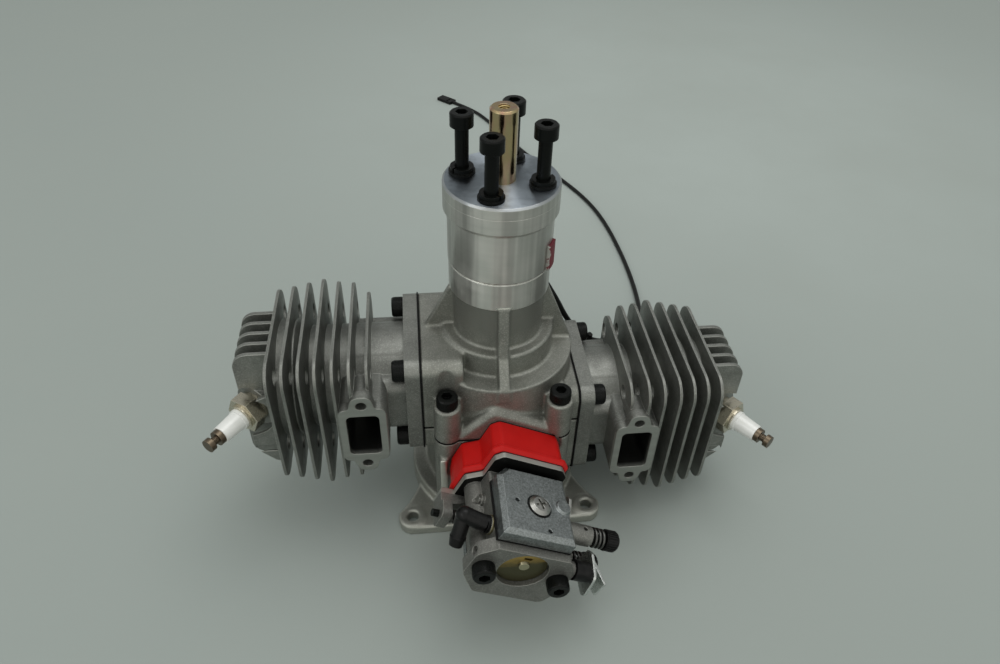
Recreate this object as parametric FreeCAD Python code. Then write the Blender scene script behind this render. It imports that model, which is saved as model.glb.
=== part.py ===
import FreeCAD, Part
import math
import os

from FreeCAD import Vector as V

# Flat twin two-stroke model aircraft engine, millimetres.
# Frame: origin at the centre of the four mounting feet, on the crankshaft axis.
# +Z runs along the crankshaft to the propeller, +X to the cylinder that sits nearer the feet,
# and -Y is the side of the carburettor and the exhaust ports.

# ---------------------------------------------------------------- driving dimensions
# whole engine
hub_face_height = 157.0        # mounting plane to the front face of the propeller washer
left_axis_height = 65.0        # crank plane of the left (-X) cylinder
cylinder_offset = 19.6         # how far the right cylinder sits behind the left one
fit = 0.05                     # radial running clearance of turning parts
seat_gap = 0.02                # clearance of pieces that are screwed or pressed together
tap_gap = 0.02                 # clearance round the thread of a screw

# crank and pistons
bore = 36.0
stroke = 30.0
piston_gap = 0.1               # radial clearance of the piston in its bore
crown_top_dead_centre = 82.0   # crown distance from the crank axis
piston_length = 25.0
wrist_pin_depth = 17.0         # wrist pin below the crown
wrist_pin_radius = 4.5
crank_web_radius = 23.0
centre_web_thickness = 8.6
crank_pin_length = 10.9
outer_web_thickness = 8.0
crank_pin_radius = 6.0
journal_radius = 8.5
nose_radius = 7.5

# crankcase
case_radius = 31.5
case_cavity_radius = 26.0
case_gasket_thickness = 0.4
main_bearing_radius = 17.5
main_bearing_width = 10.0
nose_bearing_radius = 16.0
nose_bearing_width = 9.0
lower_ring_top = 80.0
upper_ring_radius = 23.0
upper_ring_top = 90.5
snout_radius = 18.0
snout_band_radius = 19.8
snout_band_length = 12.1
hub_gap = 0.3                  # turning hub above the fixed snout band
gusset_thickness = 3.0
case_bolt_x = 22.8
case_bolt_inset = 1.5          # bolt rows inside the radius of the case
case_bolt_seat = 73.0
case_bolt_boss_radius = 5.6
case_bolt_length = 40.0

# mounting feet
foot_spacing_x = 79.0
foot_spacing_y = 66.0
foot_radius = 6.3
foot_hole_radius = 2.6
foot_thickness = 5.0
base_disc_radius = 38.5
base_disc_top = 10.0

# cylinders
cylinder_seat_step = 0.9       # crankcase face that carries a cylinder, outside the radius of the case
base_gasket_thickness = 0.6
base_gasket_edge = 0.35        # gasket standing proud of the flanges
flange_thickness = 6.0
flange_half_y = 25.8
flange_half_z = 24.2
flange_corner = 5.5
base_bolt_y = 20.3
base_bolt_z = 18.7
barrel_radius = 21.2
spigot_radius = 20.0
spigot_length = 5.6
fin_pitch = 6.2
fin_thickness = 1.8
fin_taper = 0.35
outer_fin_x = 90.4
fin_growth = [-1.4, -0.6, 0.3, 1.2, 0.3, -0.2, -3.3]  # change of both half sizes, outermost fin first
fin_half_y = 30.9
fin_half_z = 32.2
fin_centre_y = -3.5
fin_corner = 8.5
tool_hole_radius = 3.4
head_fin_count = 5
head_fin_half_z = 28.0
head_fin_end = 105.3
head_fin_corner = 6.5
head_fin_thickness = 1.7
chamber_depth = 9.0

# exhaust ports
port_x = 55.8
port_half_x = 6.4
port_half_z = 10.9
port_face_y = -36.5
port_flange_half_x = 9.2
port_flange_half_z = 14.6
port_flange_thickness = 4.0
port_bolt_spacing = 33.0
port_bolt_hole_radius = 2.1

# spark plugs
plug_angle = 54.0              # from the cylinder axis towards -Y
plug_seat_x = 100.4
plug_seat_y = -16.2
plug_hex = 14.0
plug_thread_radius = 5.0
plug_reach = 12.0

# propeller hub
hub_flange_radius = 21.6
hub_flange_thickness = 7.9
hub_radius = 20.1
hub_length = 28.5
prop_washer_thickness = 4.5
prop_bolt_circle = 30.0
prop_bolt_turn = -110.6        # degrees from +X
prop_bolt_head_top = 23.2      # above the propeller washer
prop_bolt_length = 35.0
pilot_radius = 5.0
pilot_height = 27.1            # above the propeller washer
magnet_azimuth = -28.0         # degrees from +X
magnet_drop = 15.1             # below the flange of the hub
magnet_radius = 3.0
magnet_depth = 4.0

# intake and carburettor
carb_tilt = 25.6
carb_x = 1.5
carb_z = 42.5
intake_face_y = -34.0
gasket_thickness = 0.5
isolator_length = 15.5
isolator_lip = 1.2
pump_gasket_thickness = 0.9
carb_flange_thickness = 2.4
carb_length = 37.5
carb_bolt_spacing = 31.2
carb_bolt_radius = 2.5
carb_bolt_hold = 8.0           # thread of the long bolts in the case
choke_bush_length = 6.4
carb_bolt_drop = 1.5           # bolts below the throat axis, so that the two shafts pass over them
throat_radius = 10.0
venturi_radius = 8.2
throttle_radius = 9.3
throttle_y = -62.0
choke_y = -85.0
butterfly_rise = 3.0           # throttle and choke shafts above the throat axis
butterfly_shaft_radius = 1.6
plate_thickness = 1.0
choke_screw_drop = 1.6         # below the axis of its shaft
pump_cover_height = 6.0
carb_top = 10.5
metering_floor = -17.5

# ignition sensor
sensor_azimuth = 65.0          # degrees from +X
sensor_inner = 22.3
sensor_outer = 28.5
sensor_below = 7.0             # below the magnet
sensor_above = 6.0
bracket_thickness = 1.2

# sensor cable
cable_radius = 1.3

case_bolt_y = case_radius - case_bolt_inset
cylinder_seat = case_radius + cylinder_seat_step
right_axis_height = left_axis_height - cylinder_offset
split_height = (left_axis_height + right_axis_height) / 2
piston_radius = bore / 2
bore_radius = piston_radius + piston_gap
hub_flange_top = hub_face_height - prop_washer_thickness
hub_bottom = hub_flange_top - hub_length
magnet_height = hub_flange_top - hub_flange_thickness - magnet_drop
sensor_bottom = magnet_height - sensor_below
sensor_top = magnet_height + sensor_above
snout_top = hub_bottom - hub_gap
carb_seat_y = intake_face_y - gasket_thickness - isolator_length - gasket_thickness
carb_face_y = carb_seat_y - carb_length

X, Y, Z = V(1, 0, 0), V(0, 1, 0), V(0, 0, 1)


# ---------------------------------------------------------------- shape helpers
def block(xs, ys, zs):
    return Part.makeBox(xs[1] - xs[0], ys[1] - ys[0], zs[1] - zs[0], V(xs[0], ys[0], zs[0]))


def rod(radius, start, end):
    along = end - start
    return Part.makeCylinder(radius, along.Length, start, along)


def tube(outer, inner, start, end):
    return rod(outer, start, end).cut(rod(inner, start, end))


def fuse(shapes):
    """One solid from several, without the seams between faces that lie in one surface."""
    joined, *others = shapes
    for shape in others:
        joined = joined.fuse(shape)
    smooth = joined.copy().removeSplitter()
    return smooth if smooth.isValid() else joined


def turned(profile, axis=Z):
    """Solid of revolution from (radius, height) corners."""
    side = Y if axis == X else X
    corners = [side * r + axis * h for r, h in profile]
    face = Part.Face(Part.makePolygon(corners + corners[:1]))
    return face.revolve(V(0, 0, 0), axis, 360)


def outline(corners, plane, level):
    """Closed wire through corners (a, b, radius), each rounded by its own radius."""
    def at(a, b):
        return {"xy": V(a, b, level), "xz": V(a, level, b), "yz": V(level, a, b)}[plane]

    points = [V(a, b, 0) for a, b, _ in corners]
    starts, edges = [], []
    for i, (a, b, r) in enumerate(corners):
        here, before, after = points[i], points[i - 1], points[(i + 1) % len(points)]
        if not r:
            starts.append((here, here, None))
            continue
        u, w = (before - here).normalize(), (after - here).normalize()
        half = u.getAngle(w) / 2
        reach = r / math.tan(half)
        middle = here + (u + w).normalize() * (r / math.sin(half) - r)
        starts.append((here + u * reach, here + w * reach, middle))
    for i, (enter, leave, middle) in enumerate(starts):
        if middle:
            edges.append(Part.Arc(*[at(p.x, p.y) for p in (enter, middle, leave)]).toShape())
        following = starts[(i + 1) % len(starts)][0]
        if (following - leave).Length > 1e-6:
            edges.append(Part.LineSegment(at(leave.x, leave.y), at(following.x, following.y)).toShape())
    return Part.Wire(edges)


def prism(corners, plane, low, high):
    normal = {"xy": Z, "xz": Y, "yz": X}[plane]
    return Part.Face(outline(corners, plane, low)).extrude(normal * (high - low))


def rectangle(half_a, half_b, radius, centre=(0, 0)):
    a, b = centre
    return [(a - half_a, b - half_b, radius), (a + half_a, b - half_b, radius),
            (a + half_a, b + half_b, radius), (a - half_a, b + half_b, radius)]


def hexagon(across_flats, height, start, along, turn=0):
    """Hexagonal prism from start, along the given direction."""
    r = across_flats / math.sqrt(3)
    corners = [V(r * math.cos(math.radians(60 * i)), r * math.sin(math.radians(60 * i)), 0)
               for i in range(6)]
    solid = Part.Face(Part.makePolygon(corners + corners[:1])).extrude(Z * height)
    solid = solid.rotated(V(0, 0, 0), Z, turn)
    solid.Placement = FreeCAD.Placement(start, FreeCAD.Rotation(Z, along)).multiply(solid.Placement)
    return solid


def socket_bolt(thread, length, seat, along):
    """Socket-head cap screw: seat is under its head, and along points down its shank."""
    along = V(along).normalize()
    head_radius, head_height = 0.85 * thread, thread
    top = seat - along * head_height
    body = rod(head_radius, top, seat).fuse(rod(thread / 2, seat, seat + along * length))
    body = body.removeSplitter()
    rim = [e for e in body.Edges if (e.BoundBox.Center - top).Length < 0.01]
    body = body.makeChamfer(0.1 * thread, rim)
    return body.cut(hexagon(0.8 * thread, 0.55 * thread, top, along))


def spring(radius, wire, start, end, turns):
    """Helical compression spring between two points."""
    along = end - start
    height = along.Length - 2 * wire
    path = Part.makeHelix(height / turns, height, radius)
    section = Part.Wire(Part.makeCircle(wire, V(radius, 0, 0), Y))
    coil = path.makePipeShell([section], True, True)
    coil = Part.Solid(coil) if coil.ShapeType == "Shell" else coil
    coil.Placement = FreeCAD.Placement(start + V(along).normalize() * wire, FreeCAD.Rotation(Z, along))
    return coil


def mirrored(shape):
    return shape.mirror(V(0, 0, 0), X)


def side_pair(shape):
    """The right-hand shape and its mirror image, each at its own crank height."""
    right = shape.translated(Z * right_axis_height)
    left = mirrored(shape).translated(Z * left_axis_height)
    return {"left": left, "right": right}


def tilted(shape):
    """From the carburettor's own upright frame to its tilted place on the crankcase."""
    turned_shape = shape.rotated(V(0, 0, 0), Y, carb_tilt)
    return turned_shape.translated(V(carb_x, 0, carb_z))


def tilted_point(point):
    turned_point = FreeCAD.Rotation(Y, carb_tilt).multVec(point)
    return turned_point + V(carb_x, 0, carb_z)


parts = {}


# ---------------------------------------------------------------- crankcase
flange_outline = rectangle(flange_half_y, flange_half_z, flange_corner)
base_bolt_places = [(sy * base_bolt_y, sz * base_bolt_z) for sy in (-1, 1) for sz in (-1, 1)]
case_bolt_places = [(sx * case_bolt_x, sy * case_bolt_y) for sx in (-1, 1) for sy in (-1, 1)]
foot_places = [(sx * foot_spacing_x / 2, sy * foot_spacing_y / 2) for sx in (-1, 1) for sy in (-1, 1)]
isolator_outline = [(-13.6, 20.0, 2), (12.6, 20.0, 2), (15.8, 17.0, 2), (16.4, 4.5, 1.5), (20.4, 2.0, 2.5),
                    (20.4, -6.0, 3.5), (15.8, -16.5, 3), (-14.5, -17.5, 2), (-20.2, -13.5, 3),
                    (-22.2, -7.0, 4), (-22.2, 2.6, 2), (-16.2, 7.0, 1.5), (-16.2, 17.0, 2)]
intake_pad_outline = [(-18.0, 24.0, 4), (17.0, 24.0, 4), (24.8, 4.0, 5), (24.8, -9.0, 5), (19.0, -21.0, 5),
                      (-18.0, -21.5, 5), (-26.0, -14.0, 6), (-26.0, 4.0, 5)]
rear_bearing_bottom = split_height - (centre_web_thickness / 2 + crank_pin_length + outer_web_thickness
                                      + main_bearing_width + 0.9)
front_bearing_bottom = split_height + (centre_web_thickness / 2 + crank_pin_length + outer_web_thickness
                                       + 0.9)
cavity_bottom = rear_bearing_bottom + main_bearing_width
nose_bearing_bottom = snout_top - nose_bearing_width - 1.6
carb_bolt_places = [V(side * carb_bolt_spacing / 2, 0, -carb_bolt_drop) for side in (-1, 1)]


def beside_hub(radial, sideways, height):
    """Point given outwards from the crank axis at the sensor, sideways from it, and upwards."""
    return FreeCAD.Rotation(Z, sensor_azimuth).multVec(V(radial, sideways, height))


bracket_screw_place = beside_hub(28.6, -2.5, lower_ring_top)


def grown(corners, by):
    """The same outline moved outwards from its middle by about the given distance."""
    return [(a + math.copysign(by, a), b + math.copysign(by, b), r) for a, b, r in corners]


def cylinder_block(height, side):
    """Square block that carries one cylinder."""
    reach = (side * case_radius * 0.5, side * cylinder_seat)
    corners = rectangle(flange_half_y, flange_half_z, flange_corner, (0, height))
    return prism(corners, "yz", min(reach), max(reach))


def gusset(side, foot_x, foot_z):
    """Upright web from the snout band out to the shoulder of the case."""
    top = snout_top - snout_band_length - 2.5
    corners = [(side * (snout_radius - 3), top, 0), (side * snout_band_radius, top, 0),
               (side * foot_x, foot_z, 0), (side * (snout_radius - 3), foot_z, 0)]
    return prism(corners, "xz", 0, gusset_thickness)


def mounting_base():
    """Disc with four feet, hollow underneath between radial ribs."""
    foot_x, foot_y = foot_spacing_x / 2, foot_spacing_y / 2
    plate = prism(rectangle(foot_x + foot_radius, foot_y + foot_radius, foot_radius - 0.01),
                  "xy", 0, foot_thickness)
    scallop_x = 2 * foot_x
    scallop = math.hypot(scallop_x - foot_x, foot_y) - foot_radius
    for side in (-1, 1):
        place = V(side * scallop_x, 0, -1)
        plate = plate.cut(rod(scallop, place, place + Z * (foot_thickness + 2)))
    disc = rod(base_disc_radius, V(0, 0, 0), V(0, 0, base_disc_top))
    rim = [e for e in disc.Edges if abs(e.BoundBox.ZMin - base_disc_top) < 0.01]
    base = plate.fuse(disc.makeFillet(1.5, rim))
    pocket = tube(base_disc_radius - 5, main_bearing_radius - 1, V(0, 0, -1), V(0, 0, 6.5))
    ribs = [block((-1.6, 1.6), (-base_disc_radius, base_disc_radius), (-2, 8)).rotated(
            V(0, 0, 0), Z, 22.5 + 45 * i) for i in range(4)]
    base = base.cut(pocket.cut(fuse(ribs)))
    base = base.cut(rod(base_disc_radius - 6, V(0, 0, -1), V(0, 0, 0.8)))
    for x, y in foot_places:
        base = base.fuse(rod(foot_radius - 0.8, V(x, y, 0), V(x, y, foot_thickness + 0.6)))
    for x, y in foot_places:
        base = base.cut(rod(foot_hole_radius, V(x, y, -1), V(x, y, foot_thickness + 2)))
    return base


def case_body():
    solids = [
        rod(case_radius, V(0, 0, base_disc_top - 2), V(0, 0, lower_ring_top)),
        rod(upper_ring_radius, V(0, 0, lower_ring_top - 1), V(0, 0, upper_ring_top)),
        rod(snout_radius, V(0, 0, upper_ring_top - 1), V(0, 0, snout_top - 1)),
        rod(snout_band_radius, V(0, 0, snout_top - snout_band_length), V(0, 0, snout_top)),
        cylinder_block(left_axis_height, -1),
        cylinder_block(right_axis_height, 1),
        gusset(1, case_radius + 0.4, lower_ring_top - 1),
        gusset(-1, cylinder_seat - 2, left_axis_height + flange_half_z - 1),
        mounting_base(),
    ]
    band_bottom = snout_top - snout_band_length
    front_rib = [(-15, band_bottom + 0.5, 0), (-20.4, band_bottom + 0.5, 0), (-24.0, upper_ring_top, 3),
                 (-32.0, lower_ring_top, 1), (-32.0, lower_ring_top - 6, 0), (-15, lower_ring_top - 6, 0)]
    solids.append(prism(front_rib, "yz", -2.2, 2.2))
    back_rib = [(-a, b, r) for a, b, r in front_rib]
    solids.append(prism(back_rib, "yz", -2.2, 2.2))
    for x, y in case_bolt_places:
        low = V(x, y, base_disc_top + 6)
        boss = rod(case_bolt_boss_radius, low, V(x, y, case_bolt_seat))
        web_end = case_radius * 0.75
        web = prism([(x - 5, y, 0), (x + 5, y, 0), (x * web_end / case_bolt_x, 0, 0)],
                    "xy", base_disc_top + 6, case_bolt_seat - 1)
        solids += [boss, web]
    machined_rib = block((-26.6, -23.8), (-37.0, -30.0), (17.0, 46.5))
    solids.append(machined_rib)
    intake_boss = prism(intake_pad_outline, "xz", intake_face_y, -18.0)
    rim = [e for f in intake_boss.Faces if f.normalAt(0, 0).y < -0.99 for e in f.OuterWire.Edges]
    solids.append(tilted(intake_boss.makeChamfer(2.0, rim)))
    return fuse(solids)


def case_hollow():
    """Everything that is bored or drilled out of the crankcase."""
    cuts = [
        rod(case_cavity_radius, V(0, 0, cavity_bottom), V(0, 0, front_bearing_bottom)),
        rod(main_bearing_radius + seat_gap, V(0, 0, rear_bearing_bottom), V(0, 0, cavity_bottom + 1)),
        rod(journal_radius + 2.0, V(0, 0, rear_bearing_bottom - 4), V(0, 0, cavity_bottom)),
        rod(main_bearing_radius + seat_gap, V(0, 0, front_bearing_bottom - 1),
            V(0, 0, front_bearing_bottom + main_bearing_width)),
        rod(journal_radius + 4.5 + seat_gap, V(0, 0, front_bearing_bottom), V(0, 0, nose_bearing_bottom - 2)),
        rod(nose_radius + 3, V(0, 0, front_bearing_bottom), V(0, 0, snout_top + 1)),
        rod(nose_bearing_radius + seat_gap, V(0, 0, nose_bearing_bottom), V(0, 0, snout_top + 1)),
    ]
    for side, height in ((-1, left_axis_height), (1, right_axis_height)):
        cuts.append(rod(spigot_radius + seat_gap, V(side * 12, 0, height),
                        V(side * (cylinder_seat + 1), 0, height)))
        for y, z in base_bolt_places:
            cuts.append(rod(2.5 + tap_gap, V(side * (cylinder_seat - 12), y, height + z),
                            V(side * (cylinder_seat + 1), y, height + z)))
    for x, y in case_bolt_places:
        low = V(x, y, case_bolt_seat - case_bolt_length - 5)
        cuts.append(rod(2.5 + tap_gap, low, V(x, y, case_bolt_seat + 5)))
        cuts.append(rod(5.3, V(x, y, case_bolt_seat), V(x, y, case_bolt_seat + 30)))
    passage = prism(rectangle(11.6, 8.6, 2), "xz", intake_face_y - 1, -20.0)
    machined_face = prism(grown(isolator_outline, 1.0), "xz", carb_seat_y, intake_face_y)
    cuts += [tilted(passage), tilted(machined_face)]
    for p in carb_bolt_places:
        cuts.append(tilted(rod(carb_bolt_radius + tap_gap, p + Y * (intake_face_y - 1), p - Y * 24)))
    bracket_hole = bracket_screw_place - Z * 8.2
    cuts.append(rod(1.5 + tap_gap, bracket_hole, bracket_screw_place + Z))
    return fuse(cuts)


case = case_body().cut(case_hollow())
joint_low = split_height - case_gasket_thickness / 2
joint_high = split_height + case_gasket_thickness / 2


def slice_of_case(low, high):
    reach = 2 * base_disc_radius
    return case.common(block((-reach, reach), (-reach, reach), (low, high)))


parts["crankcase_front"] = slice_of_case(joint_high, hub_face_height)
parts["crankcase_rear"] = slice_of_case(-1, joint_low)
crankcase_gasket = slice_of_case(joint_low, joint_high)
parts["case_bolts"] = [socket_bolt(5.0, case_bolt_length, V(x, y, case_bolt_seat), -Z)
                       for x, y in case_bolt_places]


# ---------------------------------------------------------------- crankshaft and bearings
web_half = centre_web_thickness / 2
left_pin_bottom, left_pin_top = split_height + web_half, split_height + web_half + crank_pin_length
right_pin_top, right_pin_bottom = split_height - web_half, split_height - web_half - crank_pin_length
crank_throw = stroke / 2


def crank_web(low, high, pins):
    """Round web with a flat each side of its pin and holes for the pressed pins."""
    web = rod(crank_web_radius, V(0, 0, low), V(0, 0, high))
    for side, pin_low, pin_high in pins:
        web = web.cut(rod(crank_pin_radius + seat_gap, V(side * crank_throw, 0, pin_low),
                          V(side * crank_throw, 0, pin_high)))
    return web


def relief(side, low, high):
    """Two scoops that lighten the pin side of an outer web."""
    scoops = [rod(9.0, V(side * (crank_throw + 3), s * 19.0, low - 1), V(side * (crank_throw + 3), s * 19.0, high + 1))
              for s in (-1, 1)]
    return fuse(scoops)


pin_depth = outer_web_thickness - 0.5
front_web = crank_web(left_pin_top, left_pin_top + outer_web_thickness,
                      [(-1, left_pin_top - 1, left_pin_top + pin_depth)])
front_web = front_web.cut(relief(-1, left_pin_top, left_pin_top + outer_web_thickness))
front_shaft = turned([(0, left_pin_top + 1), (journal_radius, left_pin_top + 1),
                      (journal_radius, front_bearing_bottom + main_bearing_width + 8),
                      (nose_radius, front_bearing_bottom + main_bearing_width + 9),
                      (nose_radius, snout_top + 2), (nose_radius - 1.8, snout_top + 20),
                      (0, snout_top + 20)])
nose_thread = rod(pilot_radius - 1 + tap_gap, V(0, 0, snout_top + 5), V(0, 0, snout_top + 21))
parts["crankshaft_front"] = front_web.fuse(front_shaft).removeSplitter().cut(nose_thread)

rear_web = crank_web(right_pin_bottom - outer_web_thickness, right_pin_bottom,
                     [(1, right_pin_bottom - pin_depth, right_pin_bottom + 1)])
rear_web = rear_web.cut(relief(1, right_pin_bottom - outer_web_thickness, right_pin_bottom))
rear_shaft = rod(journal_radius, V(0, 0, rear_bearing_bottom - 1),
                 V(0, 0, right_pin_bottom - 1))
parts["crankshaft_rear"] = rear_web.fuse(rear_shaft).removeSplitter()
parts["crank_centre_web"] = crank_web(right_pin_top, left_pin_bottom,
                                      [(-1, split_height + 0.3, left_pin_bottom + 1),
                                       (1, right_pin_top - 1, split_height - 0.3)])
parts["crank_pins"] = [
    rod(crank_pin_radius, V(-crank_throw, 0, split_height + 0.32),
        V(-crank_throw, 0, left_pin_top + pin_depth - seat_gap)),
    rod(crank_pin_radius, V(crank_throw, 0, right_pin_bottom - pin_depth + seat_gap),
        V(crank_throw, 0, split_height - 0.32)),
]


def ball_bearing(inner, outer, width, bottom):
    """Outer ring, inner ring and balls of a deep-groove bearing on the crank axis."""
    middle = bottom + width / 2
    pitch = (inner + outer) / 2
    ball = 0.3 * (outer - inner)
    wall = 0.28 * (outer - inner)
    groove = Part.makeTorus(pitch, ball + fit, V(0, 0, middle))
    ring_in = tube(inner + wall, inner + seat_gap, V(0, 0, bottom), V(0, 0, bottom + width)).cut(groove)
    ring_out = tube(outer, outer - wall, V(0, 0, bottom), V(0, 0, bottom + width)).cut(groove)
    count = 8
    balls = [Part.makeSphere(ball, V(pitch * math.cos(2 * math.pi * i / count),
                                     pitch * math.sin(2 * math.pi * i / count), middle))
             for i in range(count)]
    return ring_out, ring_in, balls


bearings = [ball_bearing(journal_radius, main_bearing_radius, main_bearing_width, rear_bearing_bottom),
            ball_bearing(journal_radius, main_bearing_radius, main_bearing_width, front_bearing_bottom),
            ball_bearing(nose_radius, nose_bearing_radius, nose_bearing_width, nose_bearing_bottom)]
parts["bearing_outer_rings"] = [b[0] for b in bearings]
parts["bearing_inner_rings"] = [b[1] for b in bearings]
parts["bearing_balls"] = [ball for b in bearings for ball in b[2]]
seal_bottom = front_bearing_bottom + main_bearing_width + 0.1
parts["shaft_seal"] = turned([(journal_radius + fit, seal_bottom + 2), (journal_radius + 1.2, seal_bottom),
                              (journal_radius + 4.5, seal_bottom), (journal_radius + 4.5, seal_bottom + 6),
                              (journal_radius + 2.4, seal_bottom + 6), (journal_radius + 2.4, seal_bottom + 3),
                              (journal_radius + fit, seal_bottom + 3.5)])


# ---------------------------------------------------------------- cylinders
cylinder_foot = cylinder_seat + base_gasket_thickness
flange_top = cylinder_foot + flange_thickness
fin_places = [outer_fin_x - fin_pitch * i for i in range(len(fin_growth))]
inner_fin_x = fin_places[-1]
bore_end = crown_top_dead_centre + 0.8
plug_axis = V(math.cos(math.radians(plug_angle)), -math.sin(math.radians(plug_angle)), 0)
plug_seat = V(plug_seat_x, plug_seat_y, 0)
head_fin_places = [fin_centre_y - 0.2 + fin_pitch * (i - (head_fin_count - 1) / 2)
                   for i in range(head_fin_count)]


def cooling_fin(x, growth):
    """One square fin with rounded corners, thinner at its rim than at its root."""
    half_y, half_z = fin_half_y + growth, fin_half_z + growth
    fin = prism(rectangle(half_y, half_z, fin_corner, (fin_centre_y, 0)), "yz",
                x - fin_thickness / 2, x + fin_thickness / 2)
    faces = [f for f in fin.Faces if abs(abs(f.normalAt(0, 0).x) - 1) < 1e-6]
    edges = [e for f in faces for e in f.OuterWire.Edges]
    return fin.makeChamfer(fin_taper, fin_corner * 0.8, edges)


def head_fin(y):
    corners = [(outer_fin_x, -head_fin_half_z, 0), (head_fin_end, -head_fin_half_z, head_fin_corner),
               (head_fin_end, head_fin_half_z, head_fin_corner), (outer_fin_x, head_fin_half_z, 0)]
    return prism(corners, "xz", y - head_fin_thickness / 2, y + head_fin_thickness / 2)


def plug_guard_fin(y):
    """Short fin below the spark plug."""
    corners = [(outer_fin_x, -27.0, 0), (95.0, -27.0, 3), (102.6, -19.0, 5), (102.6, 7.0, 2),
               (outer_fin_x, 12.5, 0)]
    return prism(corners, "xz", y - head_fin_thickness / 2, y + head_fin_thickness / 2)


def cylinder_outside():
    solids = [prism(flange_outline, "yz", cylinder_foot, flange_top)]
    profile = [(0, cylinder_foot - spigot_length), (spigot_radius, cylinder_foot - spigot_length),
               (spigot_radius, cylinder_foot), (barrel_radius, cylinder_foot), (barrel_radius, bore_end - 3),
               (barrel_radius + 3.2, bore_end), (barrel_radius + 3.2, outer_fin_x),
               (14.0, outer_fin_x + 7.0), (9.0, outer_fin_x + 9.0), (0, outer_fin_x + 9.0)]
    solids.append(turned(profile, X))
    solids.append(prism(rectangle(12.0, 19.6, 4.5), "yz", flange_top - 1, inner_fin_x + 8))
    solids.append(prism(rectangle(23.2, 13.4, 5.0), "yz", flange_top - 1, inner_fin_x + 8))
    solids += [cooling_fin(x, growth) for x, growth in zip(fin_places, fin_growth)]
    solids += [head_fin(y) for y in head_fin_places]
    solids.append(plug_guard_fin(head_fin_places[0] - fin_pitch))
    solids.append(rod(9.5, plug_seat - plug_axis * 16, plug_seat))
    duct = prism(rectangle(port_half_x + 3, port_half_z + 3, 3.5, (port_x, 0)), "xz", port_face_y + 1, -12.0)
    ears = [(port_x - port_flange_half_x, -port_flange_half_z, 3), (port_x - 5.2, -port_flange_half_z, 1.5),
            (port_x - 3.6, -port_bolt_spacing / 2 - 4.4, 3.4), (port_x + 3.6, -port_bolt_spacing / 2 - 4.4, 3.4),
            (port_x + 5.2, -port_flange_half_z, 1.5), (port_x + port_flange_half_x, -port_flange_half_z, 3)]
    port_flange = ears + [(a, -b, r) for a, b, r in reversed(ears)]
    solids.append(duct)
    solids.append(prism(port_flange, "xz", port_face_y, port_face_y + port_flange_thickness))
    for side in (-1, 1):
        z = side * port_bolt_spacing / 2
        solids.append(rod(4.2, V(port_x, port_face_y, z), V(port_x, port_face_y + 13, z)))
    return fuse(solids)


def cylinder_inside():
    chamber = turned([(0, cylinder_foot - spigot_length - 1), (bore_radius, cylinder_foot - spigot_length - 1),
                      (bore_radius, bore_end), (12.5, bore_end + 0.8), (8.5, bore_end + chamber_depth * 0.7),
                      (4.0, bore_end + chamber_depth), (0, bore_end + chamber_depth)], X)
    cuts = [chamber]
    duct = prism(rectangle(port_half_x, port_half_z, 2.2, (port_x, 0)), "xz", port_face_y - 1, -8.0)
    cuts.append(duct)
    cuts.append(rod(plug_thread_radius + tap_gap, plug_seat - plug_axis * 20, plug_seat + plug_axis))
    cuts.append(rod(11.0, plug_seat, plug_seat + plug_axis * 30))
    for side in (-1, 1):
        z = side * port_bolt_spacing / 2
        cuts.append(rod(port_bolt_hole_radius, V(port_x, port_face_y - 1, z), V(port_x, port_face_y + 11, z)))
    for y, z in base_bolt_places:
        cuts.append(rod(2.75, V(cylinder_foot - 1, y, z), V(flange_top + 1, y, z)))
        cuts.append(rod(tool_hole_radius, V(inner_fin_x - 3, y, z), V(outer_fin_x + 12, y, z)))
        cuts.append(rod(4.9, V(flange_top, y, z), V(flange_top + 9, y, z)))
    return fuse(cuts)


cylinder = cylinder_outside().cut(cylinder_inside())
for name, shape in side_pair(cylinder).items():
    parts[name + "_cylinder"] = shape

gasket_corners = rectangle(flange_half_y + base_gasket_edge, flange_half_z + base_gasket_edge, flange_corner)
gasket_outline = prism(gasket_corners, "yz", cylinder_seat, cylinder_foot)
gasket_outline = gasket_outline.cut(rod(spigot_radius + 0.1, V(cylinder_seat - 1, 0, 0), V(cylinder_foot + 1, 0, 0)))
for y, z in base_bolt_places:
    gasket_outline = gasket_outline.cut(rod(2.8, V(cylinder_seat - 1, y, z), V(cylinder_foot + 1, y, z)))
parts["crankcase_gaskets"] = [crankcase_gasket] + list(side_pair(gasket_outline).values())
base_bolts = [socket_bolt(5.0, 16.0, V(flange_top, y, z), -X) for y, z in base_bolt_places]
parts["cylinder_bolts"] = list(side_pair(Part.makeCompound(base_bolts)).values())


# ---------------------------------------------------------------- spark plugs
def plug_shell():
    """Steel body: thread, gasket ring, hexagon and rolled shoulder."""
    seat, up = plug_seat, plug_axis
    solids = [rod(plug_thread_radius, seat - up * plug_reach, seat + up),
              rod(6.6, seat, seat + up * 1.6),
              hexagon(plug_hex, 5.6, seat + up * 1.6, up, 30),
              rod(5.6, seat + up * 7.2, seat + up * 8.4)]
    return fuse(solids).cut(rod(3.6 + seat_gap, seat - up * 20, seat + up * 9))


def plug_insulator():
    seat, up = plug_seat, plug_axis
    solids = [rod(3.6, seat - up * 9, seat + up * 9), rod(4.6, seat + up * 8.42, seat + up * 10.0),
              Part.makeCone(4.2, 3.7, 9.2, seat + up * 10.0, up)]
    return fuse(solids).cut(rod(1.3, seat - up * 20, seat + up * 25))


def plug_terminal():
    seat, up = plug_seat, plug_axis
    top = seat + up * 19.2
    solids = [rod(1.28, seat - up * 11, top + up * 1), rod(3.2, top + seat_gap * up, top + up * 2.2),
              rod(1.5, top + up * 2, top + up * 4.8), rod(2.8, top + up * 4.6, top + up * 6.8)]
    return fuse(solids)


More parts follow.
